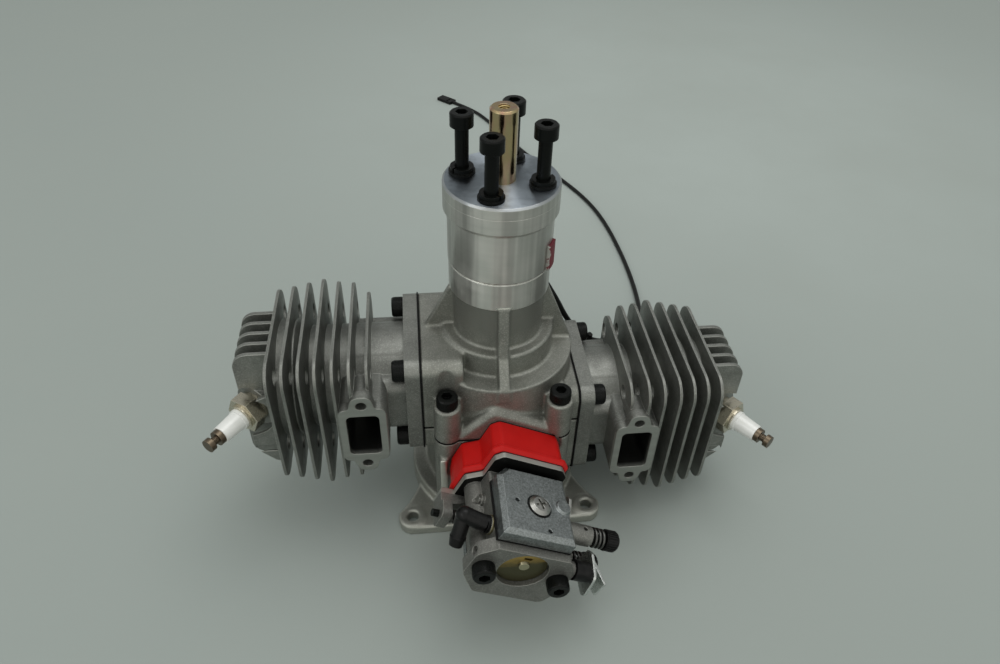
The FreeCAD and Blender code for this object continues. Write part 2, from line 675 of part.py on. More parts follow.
for piece, maker in (("plug_shells", plug_shell), ("plug_insulators", plug_insulator),
                     ("plug_terminals", plug_terminal)):
    parts[piece] = list(side_pair(maker()).values())


# ---------------------------------------------------------------- pistons
def piston():
    """Piston at top dead centre, crown outwards, hollow from below."""
    crown = crown_top_dead_centre
    skirt = crown - piston_length
    body = turned([(0, crown + 0.0), (piston_radius - 0.4, crown), (piston_radius, crown - 0.4),
                   (piston_radius, skirt), (piston_radius - 1.8, skirt), (piston_radius - 1.8, crown - 4.5),
                   (0, crown - 4.5)], X)
    pin_x = crown - wrist_pin_depth
    bosses = [rod(wrist_pin_radius + 2.4, V(pin_x, 0, s * (piston_radius - 1.0)), V(pin_x, 0, s * 6.5))
              for s in (-1, 1)]
    inside = rod(piston_radius - 0.9, V(skirt, 0, 0), V(crown, 0, 0))
    body = fuse([body] + [boss.common(inside) for boss in bosses])
    body = body.cut(rod(wrist_pin_radius + seat_gap, V(pin_x, 0, -30), V(pin_x, 0, 30)))
    for s in (-1, 1):
        window = rod(6.0, V(skirt, 0, s * 14), V(skirt, 0, s * 30))
        body = body.cut(window)
    groove = tube(piston_radius + 1, piston_radius - 1.3, V(crown - 4.0, 0, 0), V(crown - 2.8, 0, 0))
    return body.cut(groove)


def piston_ring():
    crown = crown_top_dead_centre
    ring = tube(piston_radius + 0.02, piston_radius - 1.25, V(crown - 3.95, 0, 0), V(crown - 2.85, 0, 0))
    gap = block((crown - 5, crown), (piston_radius - 3, piston_radius + 1), (-0.4, 0.4))
    return ring.cut(gap)


def wrist_pin():
    pin_x = crown_top_dead_centre - wrist_pin_depth
    reach = piston_radius - 1.6
    return tube(wrist_pin_radius, wrist_pin_radius - 1.6, V(pin_x, 0, -reach), V(pin_x, 0, reach))


for piece, maker in (("piston", piston), ("piston_ring", piston_ring), ("wrist_pin", wrist_pin)):
    for name, shape in side_pair(maker()).items():
        parts[name + "_" + piece] = shape


# ---------------------------------------------------------------- propeller hub
prop_bolt_seat = hub_face_height + prop_bolt_head_top - 5.0
prop_hole_bottom = prop_bolt_seat - prop_bolt_length - 3.7
prop_bolt_places = [V(prop_bolt_circle / 2, 0, 0)] * 4
prop_bolt_places = [FreeCAD.Rotation(Z, prop_bolt_turn + 90 * i).multVec(p)
                    for i, p in enumerate(prop_bolt_places)]
hub = turned([(0, hub_bottom), (hub_radius - 0.4, hub_bottom), (hub_radius, hub_bottom + 0.4),
              (hub_radius, hub_flange_top - hub_flange_thickness),
              (hub_flange_radius, hub_flange_top - hub_flange_thickness + 1.8),
              (hub_flange_radius, hub_flange_top), (0, hub_flange_top)])
nose_socket = turned([(0, hub_bottom - 1), (nose_radius + seat_gap, hub_bottom - 1),
                      (nose_radius + seat_gap, snout_top + 2), (nose_radius - 1.8 + seat_gap, snout_top + 20),
                      (pilot_radius + seat_gap, snout_top + 20.5), (pilot_radius + seat_gap, hub_face_height),
                      (0, hub_face_height)])
hub = hub.cut(nose_socket)
for p in prop_bolt_places:
    hub = hub.cut(rod(2.5 + tap_gap, p + Z * prop_hole_bottom, p + Z * hub_face_height))
magnet_spot = V(hub_radius - magnet_depth, 0, magnet_height)


def at_magnet(shape):
    return shape.rotated(V(0, 0, 0), Z, magnet_azimuth)


hub = hub.cut(at_magnet(rod(magnet_radius, magnet_spot, magnet_spot + X * (magnet_depth + 5))))
parts["prop_hub"] = hub
magnet_top = magnet_spot + X * (magnet_depth - 1)
parts["timing_magnet"] = at_magnet(rod(magnet_radius - seat_gap, magnet_spot, magnet_top))
red_cap = rod(magnet_radius - seat_gap, magnet_top + X * seat_gap, magnet_top + X * 1.4)
smear_low, smear_high = magnet_height - 5.2, magnet_height + 5.4
smear = tube(hub_radius + 1.2, hub_radius + seat_gap, V(0, 0, smear_low), V(0, 0, smear_high))
smear = smear.common(block((0, hub_radius + 2), (-3.2, 3.0), (smear_low, smear_high)))
parts["magnet_seal"] = at_magnet(red_cap.fuse(smear).removeSplitter())

washer = rod(hub_flange_radius, V(0, 0, hub_flange_top), V(0, 0, hub_face_height))
rim = [e for e in washer.Edges if abs(e.BoundBox.ZMin - hub_face_height) < 0.01 and e.Closed]
washer_low, washer_high = hub_flange_top - 1, hub_face_height + 1
washer = washer.makeChamfer(0.7, rim)
washer = washer.cut(rod(pilot_radius + seat_gap, V(0, 0, washer_low), V(0, 0, washer_high)))
for p in prop_bolt_places:
    washer = washer.cut(rod(2.75, p + Z * washer_low, p + Z * washer_high))
parts["prop_washer"] = washer

flat_washer_thickness, lock_washer_thickness = 1.1, 1.6
parts["prop_bolts"] = [socket_bolt(5.0, prop_bolt_length, p + Z * prop_bolt_seat, -Z) for p in prop_bolt_places]
lock_low = hub_face_height + flat_washer_thickness


def lock_washer(p):
    ring = tube(4.3, 2.65, p + Z * lock_low, p + Z * (lock_low + lock_washer_thickness))
    slit = block((2, 6), (-0.4, 0.4), (lock_low - 1, lock_low + 5))
    slit = slit.rotated(V(0, 0, 0), Z, math.degrees(math.atan2(p.y, p.x)) + 60).translated(p)
    return ring.cut(slit)


parts["prop_bolt_washers"] = [tube(4.9, 2.7, p + Z * hub_face_height, p + Z * lock_low) for p in prop_bolt_places]
parts["prop_bolt_washers"] += [lock_washer(p) for p in prop_bolt_places]

pilot_top = hub_face_height + pilot_height
pilot = turned([(0, snout_top + 6), (pilot_radius - 1, snout_top + 6), (pilot_radius - 1, snout_top + 20.6),
                (pilot_radius, snout_top + 20.8), (pilot_radius, pilot_top - 0.6), (pilot_radius - 0.6, pilot_top),
                (0, pilot_top)])
parts["pilot_shaft"] = pilot.cut(rod(2.1, V(0, 0, pilot_top - 14), V(0, 0, pilot_top + 1)))


# ---------------------------------------------------------------- intake: isolator and reed block
# From here to the sensor the shapes are in the carburettor's upright frame: x across, y along
# the throat away from its mouth, z up to the fuel pump cover.  tilted() puts them in place.
reed_half_x, reed_half_z = 11.4, 8.4
isolator_back_y = intake_face_y - gasket_thickness
isolator_front_y = isolator_back_y - isolator_length


def bolt_holes(radius, low, high):
    return fuse([rod(radius, p + Y * low, p + Y * high) for p in carb_bolt_places])


def intake_gasket(front, back, opening):
    sheet = prism(isolator_outline, "xz", front, back)
    return sheet.cut(fuse([opening, bolt_holes(carb_bolt_radius + 0.3, front - 1, back + 1)]))


reed_opening = prism(rectangle(reed_half_x + 0.2, reed_half_z + 0.2, 2), "xz", isolator_front_y + 7, -30)
throat = rod(throttle_radius, V(0, isolator_front_y - 2, 0), V(0, isolator_front_y + 8, 0))
isolator = prism(isolator_outline, "xz", isolator_front_y, isolator_back_y)
lip = prism(grown(isolator_outline, isolator_lip), "xz", isolator_front_y, isolator_front_y + 3.4)
lip = lip.makeChamfer(1.2, [e for f in lip.Faces if abs(f.normalAt(0, 0).y) > 0.99 for e in f.OuterWire.Edges])
isolator = fuse([isolator, lip])
isolator = isolator.cut(fuse([reed_opening, throat, bolt_holes(carb_bolt_radius + 0.2, -60, -30)]))
parts["intake_isolator"] = tilted(isolator)
parts["intake_gaskets"] = [tilted(intake_gasket(isolator_back_y, intake_face_y, reed_opening)),
                           tilted(intake_gasket(carb_seat_y, isolator_front_y, throat))]

reed_frame_y = isolator_front_y + 7.1
reed_tip_y = -24.6
reed_wedge = [(reed_frame_y + 2, -7.4, 0), (reed_frame_y + 2, 7.4, 0), (reed_tip_y, 0.9, 0), (reed_tip_y, -0.9, 0)]
reed_cage = prism(rectangle(reed_half_x, reed_half_z, 2), "xz", reed_frame_y, reed_frame_y + 2.2)
reed_cage = fuse([reed_cage, prism(reed_wedge, "yz", -10.8, 10.8)])
reed_hollow = [(reed_frame_y - 1, -6.4, 0), (reed_frame_y - 1, 6.4, 0), (reed_tip_y - 1.6, 0.1, 0),
               (reed_tip_y - 1.6, -0.1, 0)]
reed_cage = reed_cage.cut(prism(reed_hollow, "yz", -9.6, 9.6))
for x in (-5.0, 5.0):
    reed_cage = reed_cage.cut(block((x - 3.6, x + 3.6), (reed_frame_y + 4.2, reed_tip_y - 3), (-9, 9)))
parts["reed_cage"] = tilted(reed_cage)
slope = math.degrees(math.atan2(7.4 - 0.9, reed_tip_y - reed_frame_y - 2))
petals = []
for side in (-1, 1):
    petal = block((-9.6, 9.6), (0.6, 11.2), (0.03, 0.33))
    petal = petal.rotated(V(0, 0, 0), X, -slope).translated(V(0, reed_frame_y + 2, 7.4))
    petals.append(petal if side > 0 else petal.mirror(V(0, 0, 0), Z))
parts["reed_petals"] = [tilted(p) for p in petals]


# ---------------------------------------------------------------- carburettor
carb_flange_front = carb_seat_y - carb_flange_thickness
column_radius = 4.6
cover_left, cover_right = -15.6, 14.6
cover_back_y, cover_front_y = carb_flange_front - 1.3, carb_face_y + 3.4
cover_screw_place = V(0.4, -70.7, 0)
cover_bottom = carb_top + pump_gasket_thickness
cover_top = cover_bottom + pump_cover_height
metering_screw_places = [V(x, y, 0) for x in (-10.5, 10.5) for y in (-80.5, -60.5)]
needle_places = {"high": V(15.0, -72.0, 8.0), "low": V(15.0, -72.0, -8.5)}
needle_boss_length, needle_boss_radius, needle_radius, needle_cap_radius = 12.5, 4.1, 1.6, 3.9
idle_place = V(-26.0, -61.0, -11.0)
idle_radius = 1.5
fuel_inlet = V(-13.0, -75.6, 7.0)
fuel_corner = V(-26.0, -73.6, 7.0)
fuel_end = V(-25.1, -79.3, -4.0)
fuel_stem_radius = 2.2
throttle_axis, choke_axis = V(0, throttle_y, butterfly_rise), V(0, choke_y, butterfly_rise)
bolt_side = carb_bolt_spacing / 2
throttle_lever_x = bolt_side + 5.1
choke_bush_start = bolt_side + 5.0
choke_lever_x = choke_bush_start + choke_bush_length


def carb_casting():
    core = [(-13.6, -16.0, 2), (-13.6, -8.0, 1), (-15.6, -5.0, 1), (-15.6, carb_top, 1), (15.6, carb_top, 1),
            (15.6, -13.0, 3), (12.0, metering_floor + 1, 1)]
    left, right = -bolt_side - 5.6, bolt_side + 4.7
    face = [(left, -7.5, 5), (left, 4.5, 5), (-14.8, carb_top, 2), (15.2, carb_top, 2), (right, 4.0, 4),
            (right, -8.5, 4), (17.0, metering_floor, 3), (-12.5, metering_floor, 3)]
    solids = [
        prism(isolator_outline, "xz", carb_flange_front, carb_seat_y),
        prism(core, "xz", carb_face_y, carb_seat_y - 1),
        prism(face, "xz", carb_face_y, carb_face_y + 5.5),
        block((-13.2, 13.4), (-84.0, -57.0), (metering_floor, -10)),
        rod(3.4, V(-13.0, fuel_inlet.y, fuel_inlet.z), V(-16.6, fuel_inlet.y, fuel_inlet.z)),
        rod(2.6, throttle_axis - X * 12, throttle_axis - X * 17.0),
        rod(3.0, throttle_axis + X * 12, throttle_axis + X * (throttle_lever_x - 0.4)),
        rod(3.0, choke_axis + X * 12, choke_axis + X * (choke_bush_start - 0.3)),
    ]
    for p in carb_bolt_places:
        solids.append(rod(column_radius, p + Y * (carb_face_y + 1), p + Y * (carb_seat_y - 1)))
    for p in needle_places.values():
        solids.append(rod(needle_boss_radius, p + X * 0.4, p + X * needle_boss_length))
    x, y, z = idle_place
    stop_block = prism([(y - 3.6, z - 4.6, 1.5), (y + 3.6, z - 4.6, 0), (y + 3.6, z + 5.0, 0), (y - 3.6, z + 5.0, 3)],
                       "yz", x - 2, x + 2)
    arm = prism([(x - 2, y + 3, 0), (x + 2, y + 3, 0), (-14, carb_flange_front - 2, 0), (-14, carb_seat_y, 0),
                 (x - 2, carb_seat_y, 1.5)], "xy", z - 3.5, z + 3.5)
    return fuse(solids + [stop_block, arm])


def carb_bores():
    mouth = carb_face_y
    throat_profile = [(0, mouth - 1), (throat_radius, mouth - 1), (throat_radius, choke_y + 11.0),
                      (venturi_radius, choke_y + 13.5), (throttle_radius, throttle_y - 2),
                      (throttle_radius, carb_seat_y + 1), (0, carb_seat_y + 1)]
    reach = X * 30
    cuts = [turned(throat_profile, Y), bolt_holes(carb_bolt_radius + 0.1, mouth - 1, carb_seat_y + 1),
            rod(butterfly_shaft_radius + fit, throttle_axis - reach, throttle_axis + reach),
            rod(butterfly_shaft_radius + fit, choke_axis - reach, choke_axis + reach),
            rod(idle_radius + fit, idle_place - X * 5, idle_place + X * 5)]
    for p in needle_places.values():
        cuts.append(rod(needle_radius + fit, p - X * 3, p + X * 14))
    upper = needle_places["high"] + X * 9.0
    cuts.append(rod(0.9, upper - Z * 1.0, upper + Z * 5))
    cuts.append(rod(fuel_stem_radius + seat_gap, fuel_inlet, fuel_inlet - X * 5))
    screw_place = cover_screw_place + Z * carb_top
    cuts.append(rod(1.6 + tap_gap, screw_place - Z * 5, screw_place + Z))
    for p in metering_screw_places:
        cuts.append(rod(1.2 + tap_gap, p + Z * (metering_floor - 1), p + Z * (metering_floor + 5)))
    return fuse(cuts)


parts["carb_body"] = tilted(carb_casting().cut(carb_bores()))


def cover_sheet(low, high, spread=0.0):
    corners = [(cover_left - spread, cover_front_y, 0), (cover_right + spread, cover_front_y, 0),
               (cover_right + spread, cover_back_y, 0), (cover_left + 4.5, cover_back_y, 0),
               (cover_left - spread, cover_back_y - 4.5, 0)]
    return prism(corners, "xy", low, high)


def pump_cover():
    cover = cover_sheet(cover_bottom, cover_top)
    rim = [e for f in cover.Faces if f.normalAt(0, 0).z > 0.99 for e in f.OuterWire.Edges]
    cover = cover.makeChamfer(1.7, rim)
    bump_place = V(11.0, -69.0, cover_top)
    cover = cover.fuse(Part.makeCone(3.5, 2.7, 1.2, bump_place - Z * 0.3))
    shallow_holes = [V(-8.9, -69.9, cover_top), V(3.3, -81.2, cover_top)]
    cuts = [rod(0.9, p - Z * 2, p + Z) for p in shallow_holes]
    cuts.append(rod(1.7, cover_screw_place, cover_screw_place + Z * 30))
    cuts.append(rod(5.2, cover_screw_place + Z * (cover_top - 0.5), cover_screw_place + Z * 30))
    return cover.cut(fuse(cuts))


parts["pump_cover"] = tilted(pump_cover())
pump_gasket = cover_sheet(carb_top, cover_bottom, 0.5).cut(rod(1.7, cover_screw_place, cover_screw_place + Z * 30))

screw_seat = cover_top - 0.5
cover_screw = turned([(0, carb_top - 4.5), (1.6, carb_top - 4.5), (1.6, screw_seat), (4.5, screw_seat),
                      (4.5, screw_seat + 1.0), (3.2, screw_seat + 2.0), (0, screw_seat + 2.3)])
recess = fuse([block((-2.3, 2.3), (-0.45, 0.45), (screw_seat + 0.8, screw_seat + 4)),
               block((-0.45, 0.45), (-2.3, 2.3), (screw_seat + 0.8, screw_seat + 4))])
cover_screw = cover_screw.cut(recess.rotated(V(0, 0, 0), Z, 20)).translated(cover_screw_place)

metering_gasket_low = metering_floor - gasket_thickness
metering_cover_low = metering_gasket_low - 2.4
metering_outline = [(-13.2, -84.0, 3), (13.4, -84.0, 3), (13.4, -57.0, 3), (-13.2, -57.0, 3)]
metering_cover = prism(metering_outline, "xy", metering_cover_low, metering_gasket_low)
metering_cover = metering_cover.cut(rod(1.5, V(0, -70.5, metering_cover_low - 1), V(0, -70.5, 0)))
metering_gasket = prism(metering_outline, "xy", metering_gasket_low, metering_floor)
metering_screws = []
for p in metering_screw_places:
    hole = rod(1.35, p + Z * (metering_cover_low - 1), p)
    metering_cover, metering_gasket = metering_cover.cut(hole), metering_gasket.cut(hole)
    screw = turned([(0, 0), (2.3, 0), (2.3, 1.2), (1.2, 1.2), (1.2, 7.4), (0, 7.4)])
    metering_screws.append(screw.translated(p + Z * (metering_cover_low - 1.2)))
parts["metering_cover"] = tilted(metering_cover)
parts["carb_cover_gaskets"] = [tilted(pump_gasket), tilted(metering_gasket)]
parts["carb_cover_screws"] = [tilted(s) for s in [cover_screw] + metering_screws]


def fuel_elbow():
    """Moulded right-angle fuel inlet with a collar and a tapered spigot."""
    leg = fuel_end - fuel_corner
    collar = fuel_inlet - X * 3.6
    solids = [rod(fuel_stem_radius, fuel_inlet - X * 0.2, collar), rod(3.4, collar, collar - X * 1.2),
              rod(3.2, collar - X * 1.0, fuel_corner), Part.makeSphere(3.3, fuel_corner),
              rod(2.9, fuel_corner, fuel_end - leg * 0.28),
              Part.makeCone(3.2, 2.5, leg.Length * 0.3, fuel_end - leg * 0.3, leg)]
    return fuse(solids).cut(rod(1.1, fuel_end, fuel_end - leg * 0.9))


parts["fuel_elbow"] = tilted(fuel_elbow())
parts["carb_bolts"] = [tilted(socket_bolt(5.0, carb_length + isolator_length + carb_bolt_hold, p + Y * carb_face_y, Y)) for p in carb_bolt_places]


# ---------------------------------------------------------------- throttle and choke
def butterfly_shaft(axis, radius, left, right):
    """Shaft with a flat for its plate."""
    shaft = rod(butterfly_shaft_radius, axis - X * left, axis + X * right)
    flat = block((-radius, radius), (axis.y - 4, axis.y), (axis.z - 4, axis.z + 4))
    return shaft.cut(flat)


def butterfly_plate(axis, radius):
    return rod(radius, V(0, axis.y - plate_thickness, 0), V(0, axis.y, 0))


parts["throttle_shaft"] = tilted(butterfly_shaft(throttle_axis, throttle_radius, bolt_side + 2.2, throttle_lever_x + 1.6))
parts["throttle_plate"] = tilted(butterfly_plate(throttle_axis, throttle_radius - 0.3))
lever_shape = [(throttle_y - 3.0, butterfly_rise - 3.0, 2.6), (throttle_y + 3.0, butterfly_rise - 3.0, 2.2),
               (throttle_y + 7.8, butterfly_rise + 4.6, 1.3), (throttle_y + 5.6, butterfly_rise + 7.2, 1.3),
               (throttle_y - 3.0, butterfly_rise + 3.0, 2.2)]
lever_plate = prism(lever_shape, "yz", throttle_lever_x, throttle_lever_x + 1.2)
lever_hole = throttle_axis + V(0, 5.2, 4.4)
for radius, p in ((butterfly_shaft_radius + seat_gap, throttle_axis), (0.8, lever_hole)):
    lever_plate = lever_plate.cut(rod(radius, p + X * 15, p + X * 30))
parts["throttle_lever"] = tilted(lever_plate)

parts["choke_shaft"] = tilted(butterfly_shaft(choke_axis, throat_radius, bolt_side + 2.8, choke_lever_x + 1.6))
slot = prism(rectangle(1.7, 0.7, 0.6, (0, 5.2)), "xz", choke_y - 3, choke_y + 3)
choke_screw_place = choke_axis - Z * choke_screw_drop
screw_hole = rod(1.1, choke_screw_place - Y * 3, choke_screw_place + Y * 3)
parts["choke_plate"] = tilted(butterfly_plate(choke_axis, throat_radius - 0.3).cut(slot).cut(screw_hole))
choke_screw = turned([(0, 0), (1.05, 0), (1.05, plate_thickness), (2.4, plate_thickness),
                      (2.0, plate_thickness + 1.0), (0, plate_thickness + 1.0)])
choke_screw = choke_screw.rotated(V(0, 0, 0), X, 90)
parts["choke_screw"] = tilted(choke_screw.translated(choke_screw_place))
shaft_hole = rod(butterfly_shaft_radius + seat_gap, choke_axis, choke_axis + X * 50)
bush = rod(4.0, choke_axis + X * choke_bush_start, choke_axis + X * choke_lever_x)
parts["choke_bush"] = tilted(bush.cut(shaft_hole))
arm_shape = [(choke_y - 7.5, butterfly_rise - 7.0, 2.5), (choke_y + 3.0, butterfly_rise - 7.0, 3),
             (choke_y + 7.8, butterfly_rise + 3.5, 1.5), (choke_y + 5.0, butterfly_rise + 5.5, 2),
             (choke_y - 5.0, butterfly_rise + 4.0, 3)]
arm_plate = prism(arm_shape, "yz", choke_lever_x, choke_lever_x + 1.0)
fold_shape = [(choke_lever_x, choke_y + 6.4, 0), (choke_lever_x, choke_y + 7.8, 0),
              (choke_lever_x + 1.2, choke_y + 7.8, 0), (choke_lever_x + 5.4, choke_y - 6.2, 0),
              (choke_lever_x + 4.4, choke_y - 6.5, 0)]
fold = prism(fold_shape, "xy", butterfly_rise - 4.6, butterfly_rise + 3.4)
parts["choke_lever"] = tilted(arm_plate.fuse(fold).removeSplitter().cut(shaft_hole))


# ---------------------------------------------------------------- adjusting screws and their springs
idle = fuse([rod(idle_radius, idle_place - X * 4.6, idle_place + X * 9.2),
             rod(3.0, idle_place + X * 9.0, idle_place + X * 11.4)])
idle_slot = block((10.6, 13), (-0.4, 0.4), (-4, 4)).translated(idle_place)
parts["idle_screw"] = tilted(idle.cut(idle_slot))
springs = [spring(2.3, 0.4, idle_place + X * 2.1, idle_place + X * 8.9, 5)]
for name, p in needle_places.items():
    needle = turned([(0, -2.0), (0.5, -1.8), (needle_radius, 4.0), (needle_radius, 19.4), (needle_cap_radius, 19.4),
                     (needle_cap_radius, 24.6), (needle_cap_radius - 0.5, 25.2), (0, 25.2)])
    needle = needle.rotated(V(0, 0, 0), Y, 90).translated(p)
    needle_slot = block((24.2, 27), (-0.4, 0.4), (-4, 4)).translated(p)
    parts[name + "_speed_needle"] = tilted(needle.cut(needle_slot))
    springs.append(spring(3.4, 0.6, p + X * (needle_boss_length + 0.2), p + X * 19.2, 3))
parts["adjuster_springs"] = [tilted(coil) for coil in springs]


# ---------------------------------------------------------------- ignition sensor and its cable
def beside_hub_block(radial, sideways, heights):
    return block(radial, sideways, heights).rotated(V(0, 0, 0), Z, sensor_azimuth)


def inward_screw(radius, head_radius, head_height, length, seat, along):
    """Small cap screw without a socket."""
    return rod(radius, seat, seat + along * length).fuse(rod(head_radius, seat - along * head_height, seat))


bracket_outer = sensor_outer + bracket_thickness
sensor = block((sensor_inner, sensor_outer), (-6, 6), (sensor_bottom, sensor_top))
sensor = sensor.makeChamfer(0.8, [e for e in sensor.Edges if e.BoundBox.XLength < 0.01])
sensor = sensor.rotated(V(0, 0, 0), Z, sensor_azimuth)
foot_low, foot_high = lower_ring_top, lower_ring_top + bracket_thickness
bracket = fuse([beside_hub_block((25.4, 31.0), (-6, 7), (foot_low, foot_high)),
                beside_hub_block((sensor_outer, bracket_outer), (2, 7), (foot_low, sensor_top)),
                beside_hub_block((sensor_outer, bracket_outer), (-6, 7), (sensor_bottom, sensor_top))])
inward = FreeCAD.Rotation(Z, sensor_azimuth).multVec(V(-1, 0, 0))
screw_height = (sensor_bottom + sensor_top) / 2
sensor_screws = [inward_screw(1.5, 2.6, 2.6, 8, bracket_screw_place + Z * bracket_thickness, -Z)]
bracket = bracket.cut(rod(1.6, bracket_screw_place - Z, bracket_screw_place + Z * 5))
for sideways in (-3.2, 3.2):
    seat = beside_hub(bracket_outer, sideways, screw_height)
    sensor_screws.append(inward_screw(1.25, 2.2, 1.8, 5, seat, inward))
    bracket = bracket.cut(rod(1.35, seat - inward, seat + inward * 2))
    sensor = sensor.cut(rod(1.25 + tap_gap, seat, seat + inward * 5.4))
parts["sensor_body"] = sensor
parts["sensor_bracket"] = bracket
parts["sensor_screws"] = sensor_screws

floor_gap = 0.05
cable_floor = cable_radius + floor_gap
cable_points = [beside_hub(26.3, -2.5, sensor_bottom), beside_hub(26.3, -2.5, sensor_bottom - 15),
                V(20.0, 28.5, 96.0), V(30.5, 30.0, 77.0), V(36.3, 30.0, 64.5), V(43.8, 30.0, 54.2),
                V(52.0, 30.8, 47.9), V(66.0, 38.5, 40.5), V(84.0, 62.0, 19.0), V(97.0, 90.0, 5.0),
                V(103.0, 124.0, cable_floor), V(103.5, 166.0, cable_floor), V(99.5, 215.0, cable_floor),
                V(88.0, 252.0, cable_floor), V(62.0, 300.0, cable_floor), V(46.0, 337.0, cable_floor),
                V(33.0, 371.0, cable_floor), V(21.0, 394.0, cable_floor), V(4.8, 409.6, cable_floor)]


def cord(radius, points):
    """Tube along straight runs that are joined by tangent arcs."""
    edges, here, radii = [], points[0], []
    for before, corner, after in zip(points, points[1:], points[2:]):
        back, ahead = before - corner, after - corner
        turn = math.pi - back.getAngle(ahead)
        reach = 0.45 * min(back.Length, ahead.Length)
        bend = reach / math.tan(turn / 2)
        back.normalize()
        ahead.normalize()
        middle = corner + (back + ahead).normalize() * (bend / math.cos(turn / 2) - bend)
        edges.append(Part.LineSegment(here, corner + back * reach).toShape())
        edges.append(Part.Arc(corner + back * reach, middle, corner + ahead * reach).toShape())
        here = corner + ahead * reach
        radii.append(round(bend, 1))
    edges.append(Part.LineSegment(here, points[-1]).toShape())
    path = Part.Wire(edges)
    section = Part.Wire(Part.makeCircle(radius, points[0], points[1] - points[0]))
    shell = path.makePipeShell([section], True, False)
    solid = shell if shell.ShapeType == "Solid" else Part.Solid(shell)
    print("cord radii", radii, "length", round(path.Length, 1),
          "volume ratio", round(solid.Volume / (path.Length * math.pi * radius ** 2), 4))
    return solid


parts["sensor_cable"] = cord(cable_radius, cable_points)
tie_start, tie_end = cable_points[5], cable_points[6]
tie_along = (tie_end - tie_start).normalize()
tie_middle = (tie_start + tie_end) / 2
parts["cable_tie"] = fuse([rod(cable_radius + 1.0, tie_middle - tie_along * 1.3, tie_middle + tie_along * 1.3),
                           rod(1.3, tie_middle, tie_middle + V(0.4, -0.2, 0.9) * 3.0)]).cut(
    rod(cable_radius + seat_gap, tie_middle - tie_along * 3, tie_middle + tie_along * 3))

plug_start = cable_points[-1]
plug_along = (cable_points[-1] - cable_points[-2]).normalize()
plug_turn = math.degrees(math.atan2(plug_along.y, plug_along.x))
plug = block((0, 15.0), (-3.9, 3.9), (-1.3, 1.3))
plug = plug.cut(fuse([block((9.0, 16.0), (y - 0.8, y + 0.8), (-0.75, 0.75)) for y in (-2.54, 0, 2.54)]))
plug = plug.cut(fuse([block((3.0, 5.6), (y - 0.7, y + 0.7), (0.6, 2)) for y in (-2.54, 0, 2.54)]))
plug = plug.makeChamfer(0.35, [e for e in plug.Edges if e.BoundBox.XLength > 14])
parts["sensor_plug"] = plug.rotated(V(0, 0, 0), Z, plug_turn).translated(plug_start)


# ---------------------------------------------------------------- writing the parts
os.makedirs("parts", exist_ok=True)
for name, shape in parts.items():
    if isinstance(shape, list):
        shape = Part.makeCompound([s for piece in shape for s in piece.Solids])
    if len(shape.Solids) == 1:
        shape = shape.Solids[0]
    shape.exportStep("parts/" + name + ".step")
    print(name, len(shape.Solids), shape.isValid(), round(shape.Volume))
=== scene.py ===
"""Flat twin aircraft engine: its finishes, small detail and plain stage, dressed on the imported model."""
import math

import bmesh
import bpy
from bpy.props import FloatProperty, FloatVectorProperty, PointerProperty
from mathutils import Matrix, Vector


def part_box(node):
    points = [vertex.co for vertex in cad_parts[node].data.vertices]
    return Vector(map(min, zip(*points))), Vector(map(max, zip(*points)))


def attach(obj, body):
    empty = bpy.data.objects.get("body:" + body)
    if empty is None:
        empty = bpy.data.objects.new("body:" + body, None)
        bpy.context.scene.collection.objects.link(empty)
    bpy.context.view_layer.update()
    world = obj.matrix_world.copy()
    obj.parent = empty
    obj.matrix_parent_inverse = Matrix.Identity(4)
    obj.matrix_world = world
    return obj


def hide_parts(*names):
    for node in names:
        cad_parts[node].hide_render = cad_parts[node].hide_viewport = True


bl_info = {
    "name": "Flat twin engine",
    "version": (1, 0, 0),
    "blender": (4, 5, 0),
    "location": "View3D > Sidebar > Engine",
    "description": "Dresses a flat twin aircraft engine: castings, turned parts, fasteners and cable",
    "category": "Object",
}

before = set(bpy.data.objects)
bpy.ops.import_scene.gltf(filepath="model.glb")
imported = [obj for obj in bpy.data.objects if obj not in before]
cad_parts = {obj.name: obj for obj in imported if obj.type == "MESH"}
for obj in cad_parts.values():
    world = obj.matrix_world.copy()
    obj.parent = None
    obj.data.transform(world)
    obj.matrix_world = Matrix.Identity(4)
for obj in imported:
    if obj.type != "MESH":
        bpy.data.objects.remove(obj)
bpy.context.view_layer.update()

MM = 0.001
AXIS_X, AXIS_Y = Vector((1, 0, 0)), Vector((0, 1, 0))

# -------------------- places shared with the source, millimetres
LEFT_AXIS_HEIGHT, RIGHT_AXIS_HEIGHT = 65.0, 45.4
CYLINDERS = ((-1, LEFT_AXIS_HEIGHT), (1, RIGHT_AXIS_HEIGHT))
PORT_CENTRE_X, PORT_HALF_WIDTH, PORT_HALF_HEIGHT = 55.8, 6.5, 11.0
PLUG_SEAT_X, PLUG_SEAT_Y, PLUG_NECK = 100.4, -16.2, 21.5
PLUG_ANGLE = math.radians(54.0)
CASE_HEAD_X, CASE_HEAD_Y, CASE_HEAD_Z = 22.8, 30.0, 75.2
CYLINDER_HEAD_X, CYLINDER_HEAD_Y, CYLINDER_HEAD_RISE = 41.2, 20.3, 18.7
CARB_TILT = math.radians(25.6)
CARB_PLACE = Vector((1.5, 0, 42.5)) * MM
CARB_HEAD_SIDE, CARB_HEAD_Y, CARB_HEAD_LEVEL = 15.6, -90.2, -1.5
COVER_SCREW_SIDE, COVER_SCREW_Y, COVER_SCREW_RIM = 0.4, -70.7, 5.1
NEEDLE_CAP_SIDE, NEEDLE_Y, NEEDLE_CAP_RADIUS = 37.0, -72.0, 3.9
NEEDLES = (("high", 8.0), ("low", -8.5))
INLET_PLACE = (-16.5, -75.6, 7.0)
PILOT_HOLE_RADIUS, PILOT_THREAD_LENGTH = 2.1, 9.0
BAND_WIDTH, BAND_RADIUS, SNOUT_RADIUS = 12.1, 19.8, 18.5
